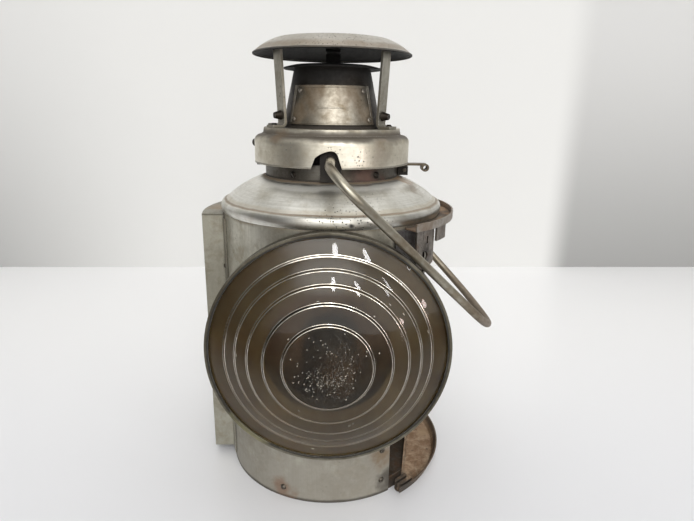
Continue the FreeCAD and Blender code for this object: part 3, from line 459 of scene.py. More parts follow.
def plating(
    name, tone, worn, rough, brushed, mottle, tarnish=0.25, corner_shade=0.7, wear=0.35, specks=0.45,
    stains=(), bands=(), pits=(), rust=0.0, inside=None, inside_shade=GRIME_AND_SHADE,
):
    """Plated sheet with clouded tarnish, brushed streaks, specks, stains, painted shade in its corners and worn
    edges.
    """
    look = bpy.context.scene.lamp_finish
    surface = Surface(name)
    broad = surface.noise(26.0, 4.0, 0.62, distortion=0.4)
    patch = surface.noise(85.0, 4.0, 0.62, distortion=0.3)
    fine = surface.noise(420.0, 4.0, 0.7)
    cloud = surface.fade(surface.plus(broad, surface.times(fine, 0.35)), 0.48, 0.86)
    share = surface.times(cloud, mottle)
    tint = surface.mix(share, tone, worn)
    film = surface.times(surface.fade(patch, 0.50, 0.70), tarnish)
    tint = surface.mix(film, tint, STRAW, "MULTIPLY")
    if brushed == "round":
        streak_place = surface.wrapped(2.4, 900.0)
    elif brushed == "up":
        streak_place = surface.wrapped(70.0, 22.0)
    else:
        streak_place = surface.stretched(160.0, 160.0, 160.0)
    streaks = surface.noise(1.0, 3.0, 0.6, streak_place)
    tint = surface.mix(surface.fade(streaks, 0.38, 0.72, 0.0, 0.30), tint, worn)
    spots = surface.fade(surface.cells(300.0), 0.24, 0.08)
    spots = surface.times(spots, surface.fade(surface.noise(48.0, 2.0), 0.54, 0.66), specks)
    tint = surface.mix(spots, tint, GRIME_AND_SHADE)
    marks = spots
    for axis, middle, half, shade, strength in bands:
        mark = surface.times(surface.band(axis, middle, half), strength)
        tint = surface.mix(mark, tint, shade)
        marks = surface.most(marks, mark)
    for point, reach, shade, strength in stains:
        mark = surface.times(surface.near(point, reach), strength)
        tint = surface.mix(mark, tint, shade)
        marks = surface.most(marks, mark)
    if rust:
        crust = surface.fade(surface.noise(120.0, 6.0, 0.7), 0.62 - 0.3 * rust, 0.72, 0.0, rust)
        tint = surface.mix(crust, tint, RUST)
        marks = surface.most(marks, crust)
    bevel = surface.rounded(look.edge)
    edge = surface.times(surface.edges(bevel), wear, surface.fade(patch, 0.35, 0.55))
    tint = surface.mix(edge, tint, RUBBED)
    # Painted shade: corners and creases found by ambient occlusion are darkened in the grime colour
    if corner_shade:
        corner = surface.times(surface.crevice(5.0 * MM), corner_shade)
        tint = surface.mix(corner, tint, GRIME_AND_SHADE)
        marks = surface.most(marks, corner)
    if inside is not None:
        inner = surface.inward(*inside)
        deep = tuple(0.4 * part for part in inside_shade)
        tint = surface.mix(inner, tint, surface.mix(cloud, inside_shade, deep))
        marks = surface.most(marks, surface.times(inner, 0.9))
    height = surface.times(fine, 0.02)
    for point, reach, size in pits:
        dots = surface.fade(surface.cells(size), 0.30, 0.12)
        mark = surface.times(dots, surface.near(point, reach), 0.9)
        tint = surface.mix(mark, tint, SOOT)
        marks = surface.most(marks, mark)
        height = surface.math("SUBTRACT", height, surface.times(mark, 0.25))
    rough_share = surface.plus(
        surface.times(surface.math("SUBTRACT", fine, 0.5), 0.20),
        surface.times(share, 0.12), surface.times(marks, 0.30), surface.times(film, 0.10),
    )
    dents = surface.noise(34.0, 1.0, 0.4)
    normal = surface.bump(dents, look.dents, 0.7, bevel)
    height = surface.plus(height, surface.times(streaks, 0.03))
    surface.set(
        Base_Color=tint,
        Metallic=surface.fade(marks, 0.15, 1.0, 1.0, 0.25),
        Roughness=surface.math("ADD", rough_share, rough, clamp=True),
        Normal=surface.bump(height, 1.0 * MM, 0.7, normal),
    )
    return surface.material


def rusted(name, tone, stains, streak, bare, rims=(), bands=()):
    """Bare sheet that has rusted, with brown blotches, scratches, stains, rubbed metal at rims and edges, and
    painted shade in its corners.
    """
    look = bpy.context.scene.lamp_finish
    surface = Surface(name)
    blotch = surface.noise(90.0, 6.0, 0.68, distortion=0.6)
    grain = surface.noise(520.0, 5.0, 0.75)
    tint = surface.mix(surface.fade(blotch, 0.36, 0.62), tone, RUST_BLOTCH)
    dark = surface.fade(surface.noise(160.0, 5.0, 0.7), 0.56, 0.72, 0.0, 0.8)
    tint = surface.mix(dark, tint, RUST_DARK)
    scratches = surface.noise(1.0, 4.0, 0.65, surface.stretched(*streak))
    tint = surface.mix(surface.fade(scratches, 0.56, 0.70, 0.0, 0.55), tint, RUST_PALE)
    tint = surface.mix(surface.fade(grain, 0.35, 0.75, 0.0, 0.35), tint, RUST_GRAIN)
    for point, reach, shade, strength in stains:
        tint = surface.mix(surface.times(surface.near(point, reach), strength), tint, shade)
    for axis, middle, half, shade, strength in bands:
        tint = surface.mix(surface.times(surface.band(axis, middle, half, RIM_RAGGED), strength), tint, shade)
    metal = None
    for axis, middle, half, strength in rims:
        mark = surface.times(surface.band(axis, middle, half, RIM_RAGGED), strength)
        metal = surface.most(metal, mark)
    bevel = surface.rounded(look.edge)
    edge = surface.times(surface.edges(bevel), bare)
    metal = surface.most(metal, edge)
    tint = surface.mix(metal, tint, surface.mix(surface.fade(blotch, 0.4, 0.65), RIM_BRIGHT, RIM_DULL))
    # Painted shade: corners and creases found by ambient occlusion are darkened in the grime colour
    corner = surface.times(surface.crevice(6.0 * MM), 0.8)
    tint = surface.mix(corner, tint, GRIME_AND_SHADE)
    polish = surface.math("SUBTRACT", metal, surface.times(grain, 0.3))
    height = surface.plus(surface.times(blotch, 0.25), surface.times(grain, 0.12))
    surface.set(
        Base_Color=tint,
        Metallic=surface.times(metal, 0.75),
        Roughness=surface.fade(polish, -0.3, 1.0, 0.85, 0.34),
        Normal=surface.bump(height, 0.5 * MM, 0.8, bevel),
    )
    return surface.material


def finish(material, *names):
    """Give CAD nodes a material."""
    for name in names:
        node = NODES[name]
        node.data.materials.clear()
        node.data.materials.append(material)
        for polygon in node.data.polygons:
            polygon.material_index = 0


def piece(name, points, faces, material, body, replaced=(), sharp=40.0):
    """Closed mesh in millimetres that rides on a body and may stand for CAD nodes."""
    mesh = bpy.data.meshes.new(name)
    mesh.from_pydata([Vector(point) * MM for point in points], [], faces)
    work = bmesh.new()
    work.from_mesh(mesh)
    bmesh.ops.recalc_face_normals(work, faces=work.faces)
    work.to_mesh(mesh)
    work.free()
    mesh.shade_smooth()
    mesh.set_sharp_from_angle(angle=math.radians(sharp))
    mesh.materials.append(material)
    thing = bpy.data.objects.new(name, mesh)
    bpy.context.scene.collection.objects.link(thing)
    if replaced:
        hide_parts(*replaced)
    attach(thing, body)
    return thing


def lathe(profile, segments, place, closed=False, flute=0.0):
    """Points and faces of (radius, height) pairs turned about an axis; a radius of 0 closes in a point."""
    points, rows, faces = [], [], []
    for radius, height in profile:
        count = segments if radius else 1
        rows.append([len(points) + index for index in range(count)])
        for index in range(count):
            angle = 2 * math.pi * index / segments
            reach = radius * (1 - flute * (index % 2))
            points.append(place(reach * math.cos(angle), reach * math.sin(angle), height))
    pairs = list(zip(rows, rows[1:]))
    if closed:
        pairs.append((rows[-1], rows[0]))
    for low, high in pairs:
        for index in range(segments):
            after = (index + 1) % segments
            if len(low) == 1:
                faces.append((low[0], high[after], high[index]))
            elif len(high) == 1:
                faces.append((low[index], low[after], high[0]))
            else:
                faces.append((low[index], low[after], high[after], high[index]))
    return points, faces


def eased(corners, rounding):
    """Line through corners, each rounded by its own amount."""
    line = []
    for index, corner in enumerate(corners):
        here = Vector(corner)
        amount = rounding[index]
        if not amount:
            line.append(here)
            continue
        back = here + (Vector(corners[index - 1]) - here).normalized() * amount
        onward = here + (Vector(corners[index + 1]) - here).normalized() * amount
        for step in range(EASE_STEPS + 1):
            share = step / EASE_STEPS
            line.append(back * (1 - share) ** 2 + here * 2 * share * (1 - share) + onward * share ** 2)
    return line


def screw_head(radius, height):
    """Domed head with a screwdriver slot, standing on its base plane, as points and faces."""
    along = [math.sin(math.pi * (index / (HEAD_ROWS - 1) - 0.5)) for index in range(HEAD_ROWS)]
    points, faces = [], []
    for column, u in enumerate(HEAD_ACROSS):
        for v in along:
            y = v * math.sqrt(1 - u * u)
            rise = height * (HEAD_WALL + HEAD_DOME * math.sqrt(max(0.0, 1 - u * u - y * y)))
            if column in SLOT_COLUMNS:
                rise -= SLOT_DEPTH * height
            points.append((radius * u, radius * y, rise))
    columns = len(HEAD_ACROSS)
    for column in range(columns - 1):
        for row in range(HEAD_ROWS - 1):
            first = column * HEAD_ROWS + row
            faces.append((first, first + 1, first + HEAD_ROWS + 1, first + HEAD_ROWS))
    rim = list(range(HEAD_ROWS))
    rim += [column * HEAD_ROWS + HEAD_ROWS - 1 for column in range(1, columns)]
    rim += [(columns - 1) * HEAD_ROWS + row for row in range(HEAD_ROWS - 2, -1, -1)]
    rim += [column * HEAD_ROWS for column in range(columns - 2, 0, -1)]
    start = len(points)
    for index in rim:
        x, y, _ = points[index]
        points.append((x, y, 0.0))
    count = len(rim)
    for index in range(count):
        after = (index + 1) % count
        faces.append((rim[index], rim[after], start + after, start + index))
    faces.append(tuple(start + index for index in range(count)))
    return points, faces


def heads(name, rows, material, body, replaced):
    """One piece of slotted heads; each row is base, outward direction, radius, height and slot angle."""
    points, faces = [], []
    for base, outward, radius, height, slot_angle in rows:
        head, skin = screw_head(radius, height)
        turn = Matrix.Rotation(math.radians(slot_angle), 3, "Z")
        stand = Vector(outward).to_track_quat("Z", "Y").to_matrix() @ turn
        start = len(points)
        points += [Vector(base) + stand @ Vector(point) for point in head]
        faces += [tuple(start + index for index in face) for face in skin]
    piece(name, points, faces, material, body, (replaced,), sharp=50.0)


def about_axis(radius, azimuth, z):
    angle = math.radians(azimuth)
    return Vector((radius * math.cos(angle), radius * math.sin(angle), z))


def cone_radius(z):
    return CONE_BASE_R + (CONE_TOP_R - CONE_BASE_R) * (z - LID_TOP) / (CONE_TOP - LID_TOP)


def plate_screws():
    """Rows for the heads at the corners of the chimney's plate."""
    rows = []
    slope = (CONE_BASE_R - CONE_TOP_R) / (CONE_TOP - LID_TOP)
    for spread, up, slots in PLATE_SCREWS:
        z = PLATE_BOTTOM + up
        for side, slot in zip((-1, 1), slots):
            azimuth = -90 + side * spread
            seat = about_axis(cone_radius(z) + PLATE_SEAT, azimuth, z)
            rows.append((seat, about_axis(1, azimuth, slope), *PLATE_HEAD, slot))
    return rows


class LAMP_OT_body(bpy.types.Operator):
    """Finish the body, its dome and its neck"""

    bl_idname = "lamp.body"
    bl_label = "Body"

    def execute(self, context):
        look = context.scene.lamp_finish
        body = plating(
            "body_plating", look.plating, look.plating_worn, 0.36, "up", 0.8, 0.35,
            stains=(
                ((-0.0284, -0.0629, 0.005), 0.010, RUST, 0.55),
                ((0.0342, -0.0600, 0.028), 0.010, TARNISH, 0.75),
                ((0.0385, -0.0570, 0.008), 0.014, GRIME_AND_SHADE, 0.7),
            ),
            bands=(
                ("z", 0.1745, 0.003, TARNISH, 0.5),
                # Painted shade: the lower body is darker towards the floor
                ("z", 0.0, 0.085, (0.24, 0.22, 0.185), 0.8),
                ("z", 0.0005, 0.002, GRIME_AND_SHADE, 0.7),
            ),
            inside=TUBE, inside_shade=BROWN,
        )
        finish(body, "body_shell")
        pan = plating("pan_plating", (0.20, 0.17, 0.14), (0.10, 0.08, 0.06), 0.5, None, 0.9, rust=0.5)
        finish(pan, "base_pan")
        dome = plating(
            "dome_plating", (0.76, 0.75, 0.70), look.plating_worn, 0.32, "round", 0.50, 0.25, specks=0.12,
            stains=(
                ((0.044, -0.012, 0.1925), 0.012, TAN, 0.75),
                ((0.050, -0.024, 0.190), 0.008, TARNISH, 0.5),
                ((0.0120, -0.0690, 0.1765), 0.0020, SOOT, 0.95),
            ),
            bands=(
                ("z", 0.1822, 0.0014, STRAW, 0.25),
                ("z", 0.1810, 0.0007, TARNISH, 0.75),
                # Painted light: a pale, less metallic ring brightens the dome round the neck, where it lies in
                # the lid's shadow
                ("r", 0.0490, 0.0060, (0.92, 0.90, 0.84), 0.45),
                ("r", 0.0428, 0.0034, TARNISH, 0.85),
            ),
            pits=(((0.012, -0.0690, 0.1745), 0.030, 560.0),), corner_shade=0.12, inside=((0, 0, 0.12), (1, 1, 1)),
        )
        finish(dome, "shoulder_dome")
        section = []
        for index in range(BEAD_ROWS):
            angle = 2 * math.pi * index / BEAD_ROWS
            section.append((BEAD_SEAT_R + BEAD_PROUD * math.cos(angle), BEAD_Z + BEAD_HALF * math.sin(angle)))
        points, faces = lathe(section, BEAD_SEGMENTS, lambda x, y, z: (x, y, z), True)
        piece("rolled_bead", points, faces, dome, "housing")
        neck = plating(
            "neck_plating", (0.18, 0.17, 0.148), (0.09, 0.078, 0.063), 0.38, "round", 0.9,
            stains=(
                ((0.022, -0.0355, 0.2000), 0.016, (0.13, 0.075, 0.058), 0.9),
                ((0.0258, -0.0332, 0.1997), 0.005, GRIME_AND_SHADE, 0.8),
                ((-0.0216, -0.0360, 0.1985), 0.005, GRIME_AND_SHADE, 0.8),
                ((0.012, -0.040, 0.2035), 0.010, GRIME_AND_SHADE, 0.7),
            ),
            bands=(("z", 0.1958, 0.0012, GRIME_AND_SHADE, 0.9),),
            inside=TUBE,
        )
        finish(neck, "neck_ring")
        ears = plating(
            "ear_plating", (0.085, 0.074, 0.060), (0.035, 0.029, 0.023), 0.45, None, 0.9,
            bands=(("z", 0.208, 0.030, SOOT, 0.75),),
        )
        finish(ears, "bail_ear_front", "bail_ear_rear", "latch_bracket", "hinge_bracket")
        return {"FINISHED"}


class LAMP_OT_fasteners(bpy.types.Operator):
    """Make the screw and rivet heads and finish the pins"""

    bl_idname = "lamp.fasteners"
    bl_label = "Fasteners"

    def execute(self, context):
        dark = plating("fastener_steel", (0.15, 0.132, 0.108), (0.06, 0.05, 0.04), 0.42, None, 0.9, corner_shade=0.9)
        finish(dark, "hinge_pin", "latch_pin")
        neck = []
        for azimuth, slot in NECK_SCREWS:
            seat = about_axis(NECK_R, azimuth, NECK_SCREW_Z)
            neck.append((seat, about_axis(1, azimuth, 0), *NECK_HEAD, slot))
        black = plating("bolt_steel", (0.060, 0.052, 0.043), (0.028, 0.023, 0.019), 0.40, None, 0.9)
        heads("neck_screw_heads", neck, black, "housing", "neck_screws")
        light = plating("plate_screw_steel", (0.44, 0.41, 0.36), (0.22, 0.19, 0.155), 0.36, None, 0.8)
        heads("plate_screw_heads", plate_screws(), light, "lid", "plate_rivets")
        finish(dark, "body_rivets")
        finish(black, "leg_rivets")
        return {"FINISHED"}


class LAMP_OT_lid(bpy.types.Operator):
    """Finish the lid, its chimney and its cap"""

    bl_idname = "lamp.lid"
    bl_label = "Lid"

    def execute(self, context):
        lid = plating(
            "lid_plating", (0.86, 0.825, 0.72), (0.56, 0.51, 0.40), 0.31, "round", 0.75, 0.4,
            stains=(
                # Painted reflection: a warm pinkish sheen on the skirt
                ((0.030, -0.042, 0.211), 0.012, PINK_SHEEN, 0.30),
                ((-0.030, -0.036, 0.2225), 0.010, TARNISH, 0.5),
            ),
            bands=(
                ("z", 0.2212, 0.0018, TARNISH, 0.8),
                ("z", 0.2212, 0.0054, (0.11, 0.095, 0.075), 0.95),
                ("z", 0.2040, 0.0008, GRIME_AND_SHADE, 0.6),
            ),
            pits=(((0.0185, -0.0450, 0.2085), 0.009, 520.0), ((0.002, -0.048, 0.213), 0.006, 620.0)),
            inside=((0, 0, 0.19), (1, 1, 0.6)),
        )
        finish(lid, "lid_collar")
        hinge = plating("hinge_plating", (0.17, 0.15, 0.12), (0.07, 0.058, 0.045), 0.42, None, 0.9)
        finish(hinge, "hinge_strap")
        inner = LATCH_LOOP_R * MM
        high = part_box("latch_lever")[1]
        loop = plating(
            "latch_plating", (0.30, 0.26, 0.19), (0.13, 0.105, 0.075), 0.42, None, 0.9,
            inside=((high[0] - inner, 0, high[2] - inner), (1, 0, 1)), inside_shade=SOOT,
        )
        finish(loop, "latch_lever")
        cone = plating(
            "chimney_plating", (0.075, 0.067, 0.06), (0.035, 0.03, 0.026), 0.42, "round", 0.9,
            bands=(("z", 0.262, 0.018, SOOT, 0.97), ("z", 0.2255, 0.002, GRIME_AND_SHADE, 0.8)),
            inside=((0, 0, 0.2), (1, 1, 0)), inside_shade=SOOT, wear=0.1,
        )
        finish(cone, "chimney_cone", "chimney_flange")
        corners = [(tuple(row[0] * MM), 0.0034, GRIME_AND_SHADE, 0.85) for row in plate_screws()]
        plate = plating(
            "plate_plating", (0.45, 0.42, 0.36), (0.22, 0.19, 0.145), 0.36, None, 0.95, 0.5,
            stains=(
                *corners,
                ((-0.012, -0.028, 0.246), 0.012, TARNISH, 0.55),
                ((0.014, -0.027, 0.245), 0.012, TARNISH, 0.5),
                ((-0.019, -0.024, 0.236), 0.012, TARNISH, 0.5),
                ((0.021, -0.023, 0.234), 0.010, TARNISH, 0.5),
            ),
        )
        finish(plate, "blank_plate")
        self.plate_frame(plate)
        # Soot and painted shade: faces of the legs that look towards the chimney are darkened to black
        legs = plating(
            "leg_plating", (0.45, 0.43, 0.37), (0.23, 0.21, 0.165), 0.36, "up", 0.8,
            inside=((0, 0, 0.25), (1, 1, 0)), inside_shade=SOOT,
        )
        finish(legs, "cap_leg_1", "cap_leg_2", "cap_leg_3")
        cap = plating(
            "cap_plating", (0.58, 0.555, 0.505), (0.37, 0.34, 0.29), 0.33, "round", 0.6,
            bands=(("r", 0.0484, 0.0012, SOOT, 0.85), ("r", 0.0455, 0.0035, TARNISH, 0.45)),
            pits=(((0.006, -0.0450, 0.2690), 0.034, 620.0),), specks=0.7,
            inside=((0, 0, 0.245), (0.15, 0.15, 1)), inside_shade=SOOT,
        )
        finish(cap, "cap_dome")
        return {"FINISHED"}

    def plate_frame(self, material):
        """Raised line round the bare plate and a short rule across it."""
        points, faces = [], []

        def on_plate(x, z, proud):
            reach = cone_radius(z) + PLATE_FACE + proud
            angle = math.asin(x / reach)
            return (reach * math.sin(angle), -reach * math.cos(angle), z)

        def half_width(z):
            share = (z - PLATE_BOTTOM) / (PLATE_TOP - PLATE_BOTTOM)
            return PLATE_HALF_BOTTOM + (PLATE_HALF_TOP - PLATE_HALF_BOTTOM) * share

        def loop(inset):
            low, high = PLATE_BOTTOM + inset, PLATE_TOP - inset
            corners = [
                (-half_width(low) + inset, low), (half_width(low) - inset, low),
                (half_width(high) - inset, high), (-half_width(high) + inset, high),
            ]
            line = []
            for index, (x, z) in enumerate(corners):
                end = corners[(index + 1) % 4]
                for step in range(FRAME_STEPS):
                    share = step / FRAME_STEPS
                    line.append((x + (end[0] - x) * share, z + (end[1] - z) * share))
            return line

        def skin(here, there):
            for side in range(4):
                turn = (side + 1) % 4
                faces.append((here + side, there + side, there + turn, here + turn))

        outer, inner = (loop(inset) for inset in FRAME_INSETS)
        for (a, b), (c, d) in zip(outer, inner):
            points += [on_plate(a, b, FRAME_ROOT), on_plate(a, b, FRAME_PROUD)]
            points += [on_plate(c, d, FRAME_PROUD), on_plate(c, d, FRAME_ROOT)]
        for index in range(len(outer)):
            skin(4 * index, 4 * ((index + 1) % len(outer)))
        start = len(points)
        middle = 0.5 * (PLATE_BOTTOM + PLATE_TOP) - RULE_DROP
        low, high = middle - RULE_WIDE, middle + RULE_WIDE
        for step in range(RULE_STEPS + 1):
            x = -RULE_HALF + 2 * RULE_HALF * step / RULE_STEPS
            points += [on_plate(x, low, FRAME_ROOT), on_plate(x, low, RULE_PROUD)]
            points += [on_plate(x, high, RULE_PROUD), on_plate(x, high, FRAME_ROOT)]
        for step in range(RULE_STEPS):
            skin(start + 4 * step, start + 4 * step + 4)
        for end in (start, start + 4 * RULE_STEPS):
            faces.append(tuple(range(end, end + 4)))
        piece("plate_frame", points, faces, material, "lid")


class LAMP_OT_door(bpy.types.Operator):
    """Finish the doorway, its trays, the door and the jacket"""

    bl_idname = "lamp.door"
    bl_label = "Door and jacket"

    def execute(self, context):
        look = context.scene.lamp_finish
        jacket = plating(
            "jacket_plating", (0.43, 0.415, 0.35), (0.26, 0.245, 0.195), 0.38, "up", 0.65, 0.35,
            stains=(
                ((-0.062, -0.026, 0.1725), 0.010, TARNISH, 0.7),
                ((-0.073, 0.005, 0.1725), 0.014, TAN, 0.4),
            ),
            bands=(("z", 0.1715, 0.0010, GRIME_AND_SHADE, 0.6),),
        )
        finish(jacket, "jacket_shell", "jacket_end_plate", "jacket_top_plate", "base_rail")
        tray = rusted(
            "tray_rust", (0.085, 0.068, 0.053),
            stains=(
                ((0.0766, 0.0087, 0.1726), 0.014, TAN, 0.6),
                # Painted shade: the tray floor is darkened where the dome's shoulder shades it
                ((0.060, -0.040, 0.1726), 0.012, GRIME_AND_SHADE, 0.6),
            ),
            rims=(("r", 0.0784, 0.0016, 0.7),), streak=(60.0, 60.0, 60.0), bare=0.5,
        )
        finish(tray, "top_tray")
        sill = rusted(
            "sill_rust", (0.52, 0.38, 0.255),
            stains=(
                ((0.0721, 0.0052, 0.001), 0.010, (0.44, 0.31, 0.19), 0.7),
                ((0.0455, -0.0570, 0.004), 0.018, GRIME_AND_SHADE, 0.9),
            ),
            # Painted shade: the sill's rim wall is darkened all round
            bands=(("r", 0.0774, 0.0024, GRIME_AND_SHADE, 0.75),), streak=(200.0, 35.0, 60.0), bare=0.3,
        )
        finish(sill, "sill_tray")
        hangers = plating(
            "hanger_plating", (0.30, 0.275, 0.25), (0.13, 0.11, 0.09), 0.4, "up", 0.9, 0.5, rust=0.35,
            stains=(
                ((0.062, -0.047, 0.140), 0.010, TAN, 0.6),
                ((0.053, -0.053, 0.156), 0.010, SOOT, 0.8),
            ),
        )
        finish(hangers, "jamb_strip", "door_catch", "door_guide")
        post = plating(
            "post_plating", (0.26, 0.255, 0.26), (0.10, 0.09, 0.083), 0.4, "up", 1.0, 0.3, inside=TUBE,
        )
        finish(post, "door_post")
        # Soot and painted shade: the inner face of the door is darkened
        door = plating("door_plating", (0.46, 0.44, 0.40), look.plating_worn, 0.36, "up", 0.8, inside=TUBE)
        finish(door, "door_panel", "door_pull")
        return {"FINISHED"}


class LAMP_OT_lens(bpy.types.Operator):
    """Make the stepped lens and finish its ring and hood"""

    bl_idname = "lamp.lens"
    bl_label = "Lens"

    def execute(self, context):
        look = context.scene.lamp_finish
        line, edges = self.outline(look.step_round / MM)
        points, faces = lathe(line, look.lens_segments, self.forward)
        glass = self.glass(look)
        lens = piece("stepped_lens", points, faces, glass, "housing", ("front_lens",), sharp=60.0)
        for material in (self.step_edge(), self.dusty_back(look), self.chip()):
            lens.data.materials.append(material)
        chance = random.Random(CHIP_SEED)
        for polygon in lens.data.polygons:
            row = polygon.index // look.lens_segments
            polygon.material_index = BACK if row < BACK_ROWS else STEP_EDGE if row in edges else GLASS
            x, z = polygon.center.x / MM, polygon.center.z / MM - LENS_Z
            aside, below = x / CLUSTER_WIDE, (z + CLUSTER_DROP) / CLUSTER_HIGH
            cluster = CHIP_CLUSTER * math.exp(-aside ** 2 - below ** 2)
            middle = CHIP_MIDDLE * math.exp(-(x * x + z * z) / MIDDLE_SPREAD)
            share = min(1.0, polygon.area / CHIP_AREA) * (cluster + middle + CHIP_STRAY)
            if row >= CHIP_FIRST_ROW and chance.random() < share:
                polygon.material_index = CHIP
        bezel = plating(
            "bezel_plating", (0.23, 0.215, 0.17), (0.09, 0.078, 0.058), 0.30, None, 0.9, 0.3,
            stains=(((-0.045, -0.075, 0.058), 0.022, (0.32, 0.30, 0.17), 0.45),),
            bands=(("lens", 0.0670, 0.0012, SOOT, 0.9),),
        )
        finish(bezel, "lens_bezel")
        hood = plating(
            "hood_plating", (0.165, 0.140, 0.095), (0.088, 0.072, 0.048), 0.50, None, 0.9, corner_shade=0.0, wear=0.0,
        )
        finish(hood, "lens_hood", "lens_retainer")
        return {"FINISHED"}

    def forward(self, across, up, ahead):
        return (across, -ahead, LENS_Z + up)

    def outline(self, rounding):
        """Section of the lens from the middle of its back round the rim to the middle of its front, and the
        rows of faces on its step edges."""
        sag = BACK_CROWN - GLASS_BACK
        bow = (LENS_CLEAR_R ** 2 + sag ** 2) / (2 * sag)
        line = []
        for step in range(BACK_ROWS + 1):
            radius = LENS_CLEAR_R * step / BACK_ROWS
            line.append(Vector((radius, BACK_CROWN - bow + math.sqrt(bow ** 2 - radius ** 2))))
        corners = [
            (LENS_CLEAR_R, GLASS_BACK), (LENS_RIM_R, GLASS_BACK),
            (LENS_RIM_R, GLASS_RIM_FRONT), (LENS_CLEAR_R, GLASS_RIM_FRONT),
        ]
        bends = list(RIM_BENDS)
        edges = []
        previous = corners[-1]
        for radius, root, step in LENS_STEPS:
            foot = radius + STEP_DRAFT
            for row in range(1, ZONE_ROWS):
                share = row / ZONE_ROWS
                arch = 4 * share * (1 - share) * LENS_ARCH
                corners.append((
                    previous[0] + (foot - previous[0]) * share,
                    previous[1] + (root - previous[1]) * share + arch,
                ))
                bends.append(0)
            edges.append(len(corners))
            corners.append((foot, root))
            bends.append(rounding * FOOT_BEND)
            edges.append(len(corners))
            corners.append((radius, root + step))
            bends.append(rounding)
            previous = (radius, root + step)
        for step in range(1, CENTRE_ROWS):
            share = step / CENTRE_ROWS
            rise = (LENS_CROWN - previous[1]) * (1 - (1 - share) ** 2)
            corners.append((previous[0] * (1 - share), previous[1] + rise))
            bends.append(0)
        corners.append((0.0, LENS_CROWN))
        bends.append(0)
        ground, count = set(), len(line) - 1
        for index, bend in enumerate(bends):
            if index in edges:
                ground.update(range(count, count + EASE_STEPS))
            count += EASE_STEPS + 1 if bend else 1
        return [tuple(point) for point in line[:-1] + eased(corners, bends)], ground

    def step_edge(self):
        """Rounded edge of a pressed step as a painted highlight in pale shiny metal, duller towards the foot of
        the lens as painted shade.
        """
        surface = Surface("lens_step_edge")
        dull = surface.fade(surface.noise(300.0, 3.0, 0.6), 0.35, 0.65)
        # Painted shade: the highlight darkens towards the foot of the lens
        below = surface.fade(surface.place()["z"], (LENS_Z + EDGE_LIT) * MM, (LENS_Z + EDGE_DIM) * MM)
        tint = surface.mix(dull, (0.88, 0.85, 0.76), (0.56, 0.51, 0.43))
        surface.set(Base_Color=surface.mix(below, tint, (0.36, 0.31, 0.24)), Metallic=1.0, Roughness=0.15)
        return surface.material

    def glass(self, look):
        """Clear pressed glass."""
        surface = Surface("lens_glass")
        surface.set(Base_Color=look.glass, IOR=1.45, Transmission_Weight=1.0, Roughness=0.03)
        return self.let_light_in(surface)

    def chip(self):
        """Small pale chip or bit of dust on the glass."""
        surface = Surface("lens_chip")
        grain = surface.noise(900.0, 3.0, 0.6)
        tint = surface.mix(surface.fade(grain, 0.3, 0.7), (0.70, 0.65, 0.56), (0.34, 0.30, 0.24))
        surface.set(Base_Color=tint, Roughness=0.6)
        return surface.material

    def dusty_back(self, look):
        """Inner face of the lens, dulled by soot and dust."""
        surface = Surface("lens_back")
        film = surface.noise(70.0, 4.0, 0.6)
        surface.set(
            Base_Color=surface.mix(surface.fade(film, 0.3, 0.7), look.glass, (0.60, 0.46, 0.31)),
            IOR=1.20, Transmission_Weight=1.0, Roughness=0.30,
        )
        return self.let_light_in(surface)

    def let_light_in(self, surface):
        """Let the lamps light what is behind the glass."""
        return surface.cleared(surface.node("ShaderNodeLightPath").outputs["Is Shadow Ray"])


class LAMP_OT_bail(bpy.types.Operator):
    """Finish the wire bail"""

    bl_idname = "lamp.bail"
    bl_label = "Bail"

    def execute(self, context):
        look = context.scene.lamp_finish
        wire = plating(
            "bail_wire", look.wire, (0.26, 0.21, 0.15), 0.36, None, 0.8, 0.35,
            bands=(("x", 0.115, 0.045, (0.15, 0.11, 0.08), 0.75),),
        )
        finish(wire, "bail")
        return {"FINISHED"}


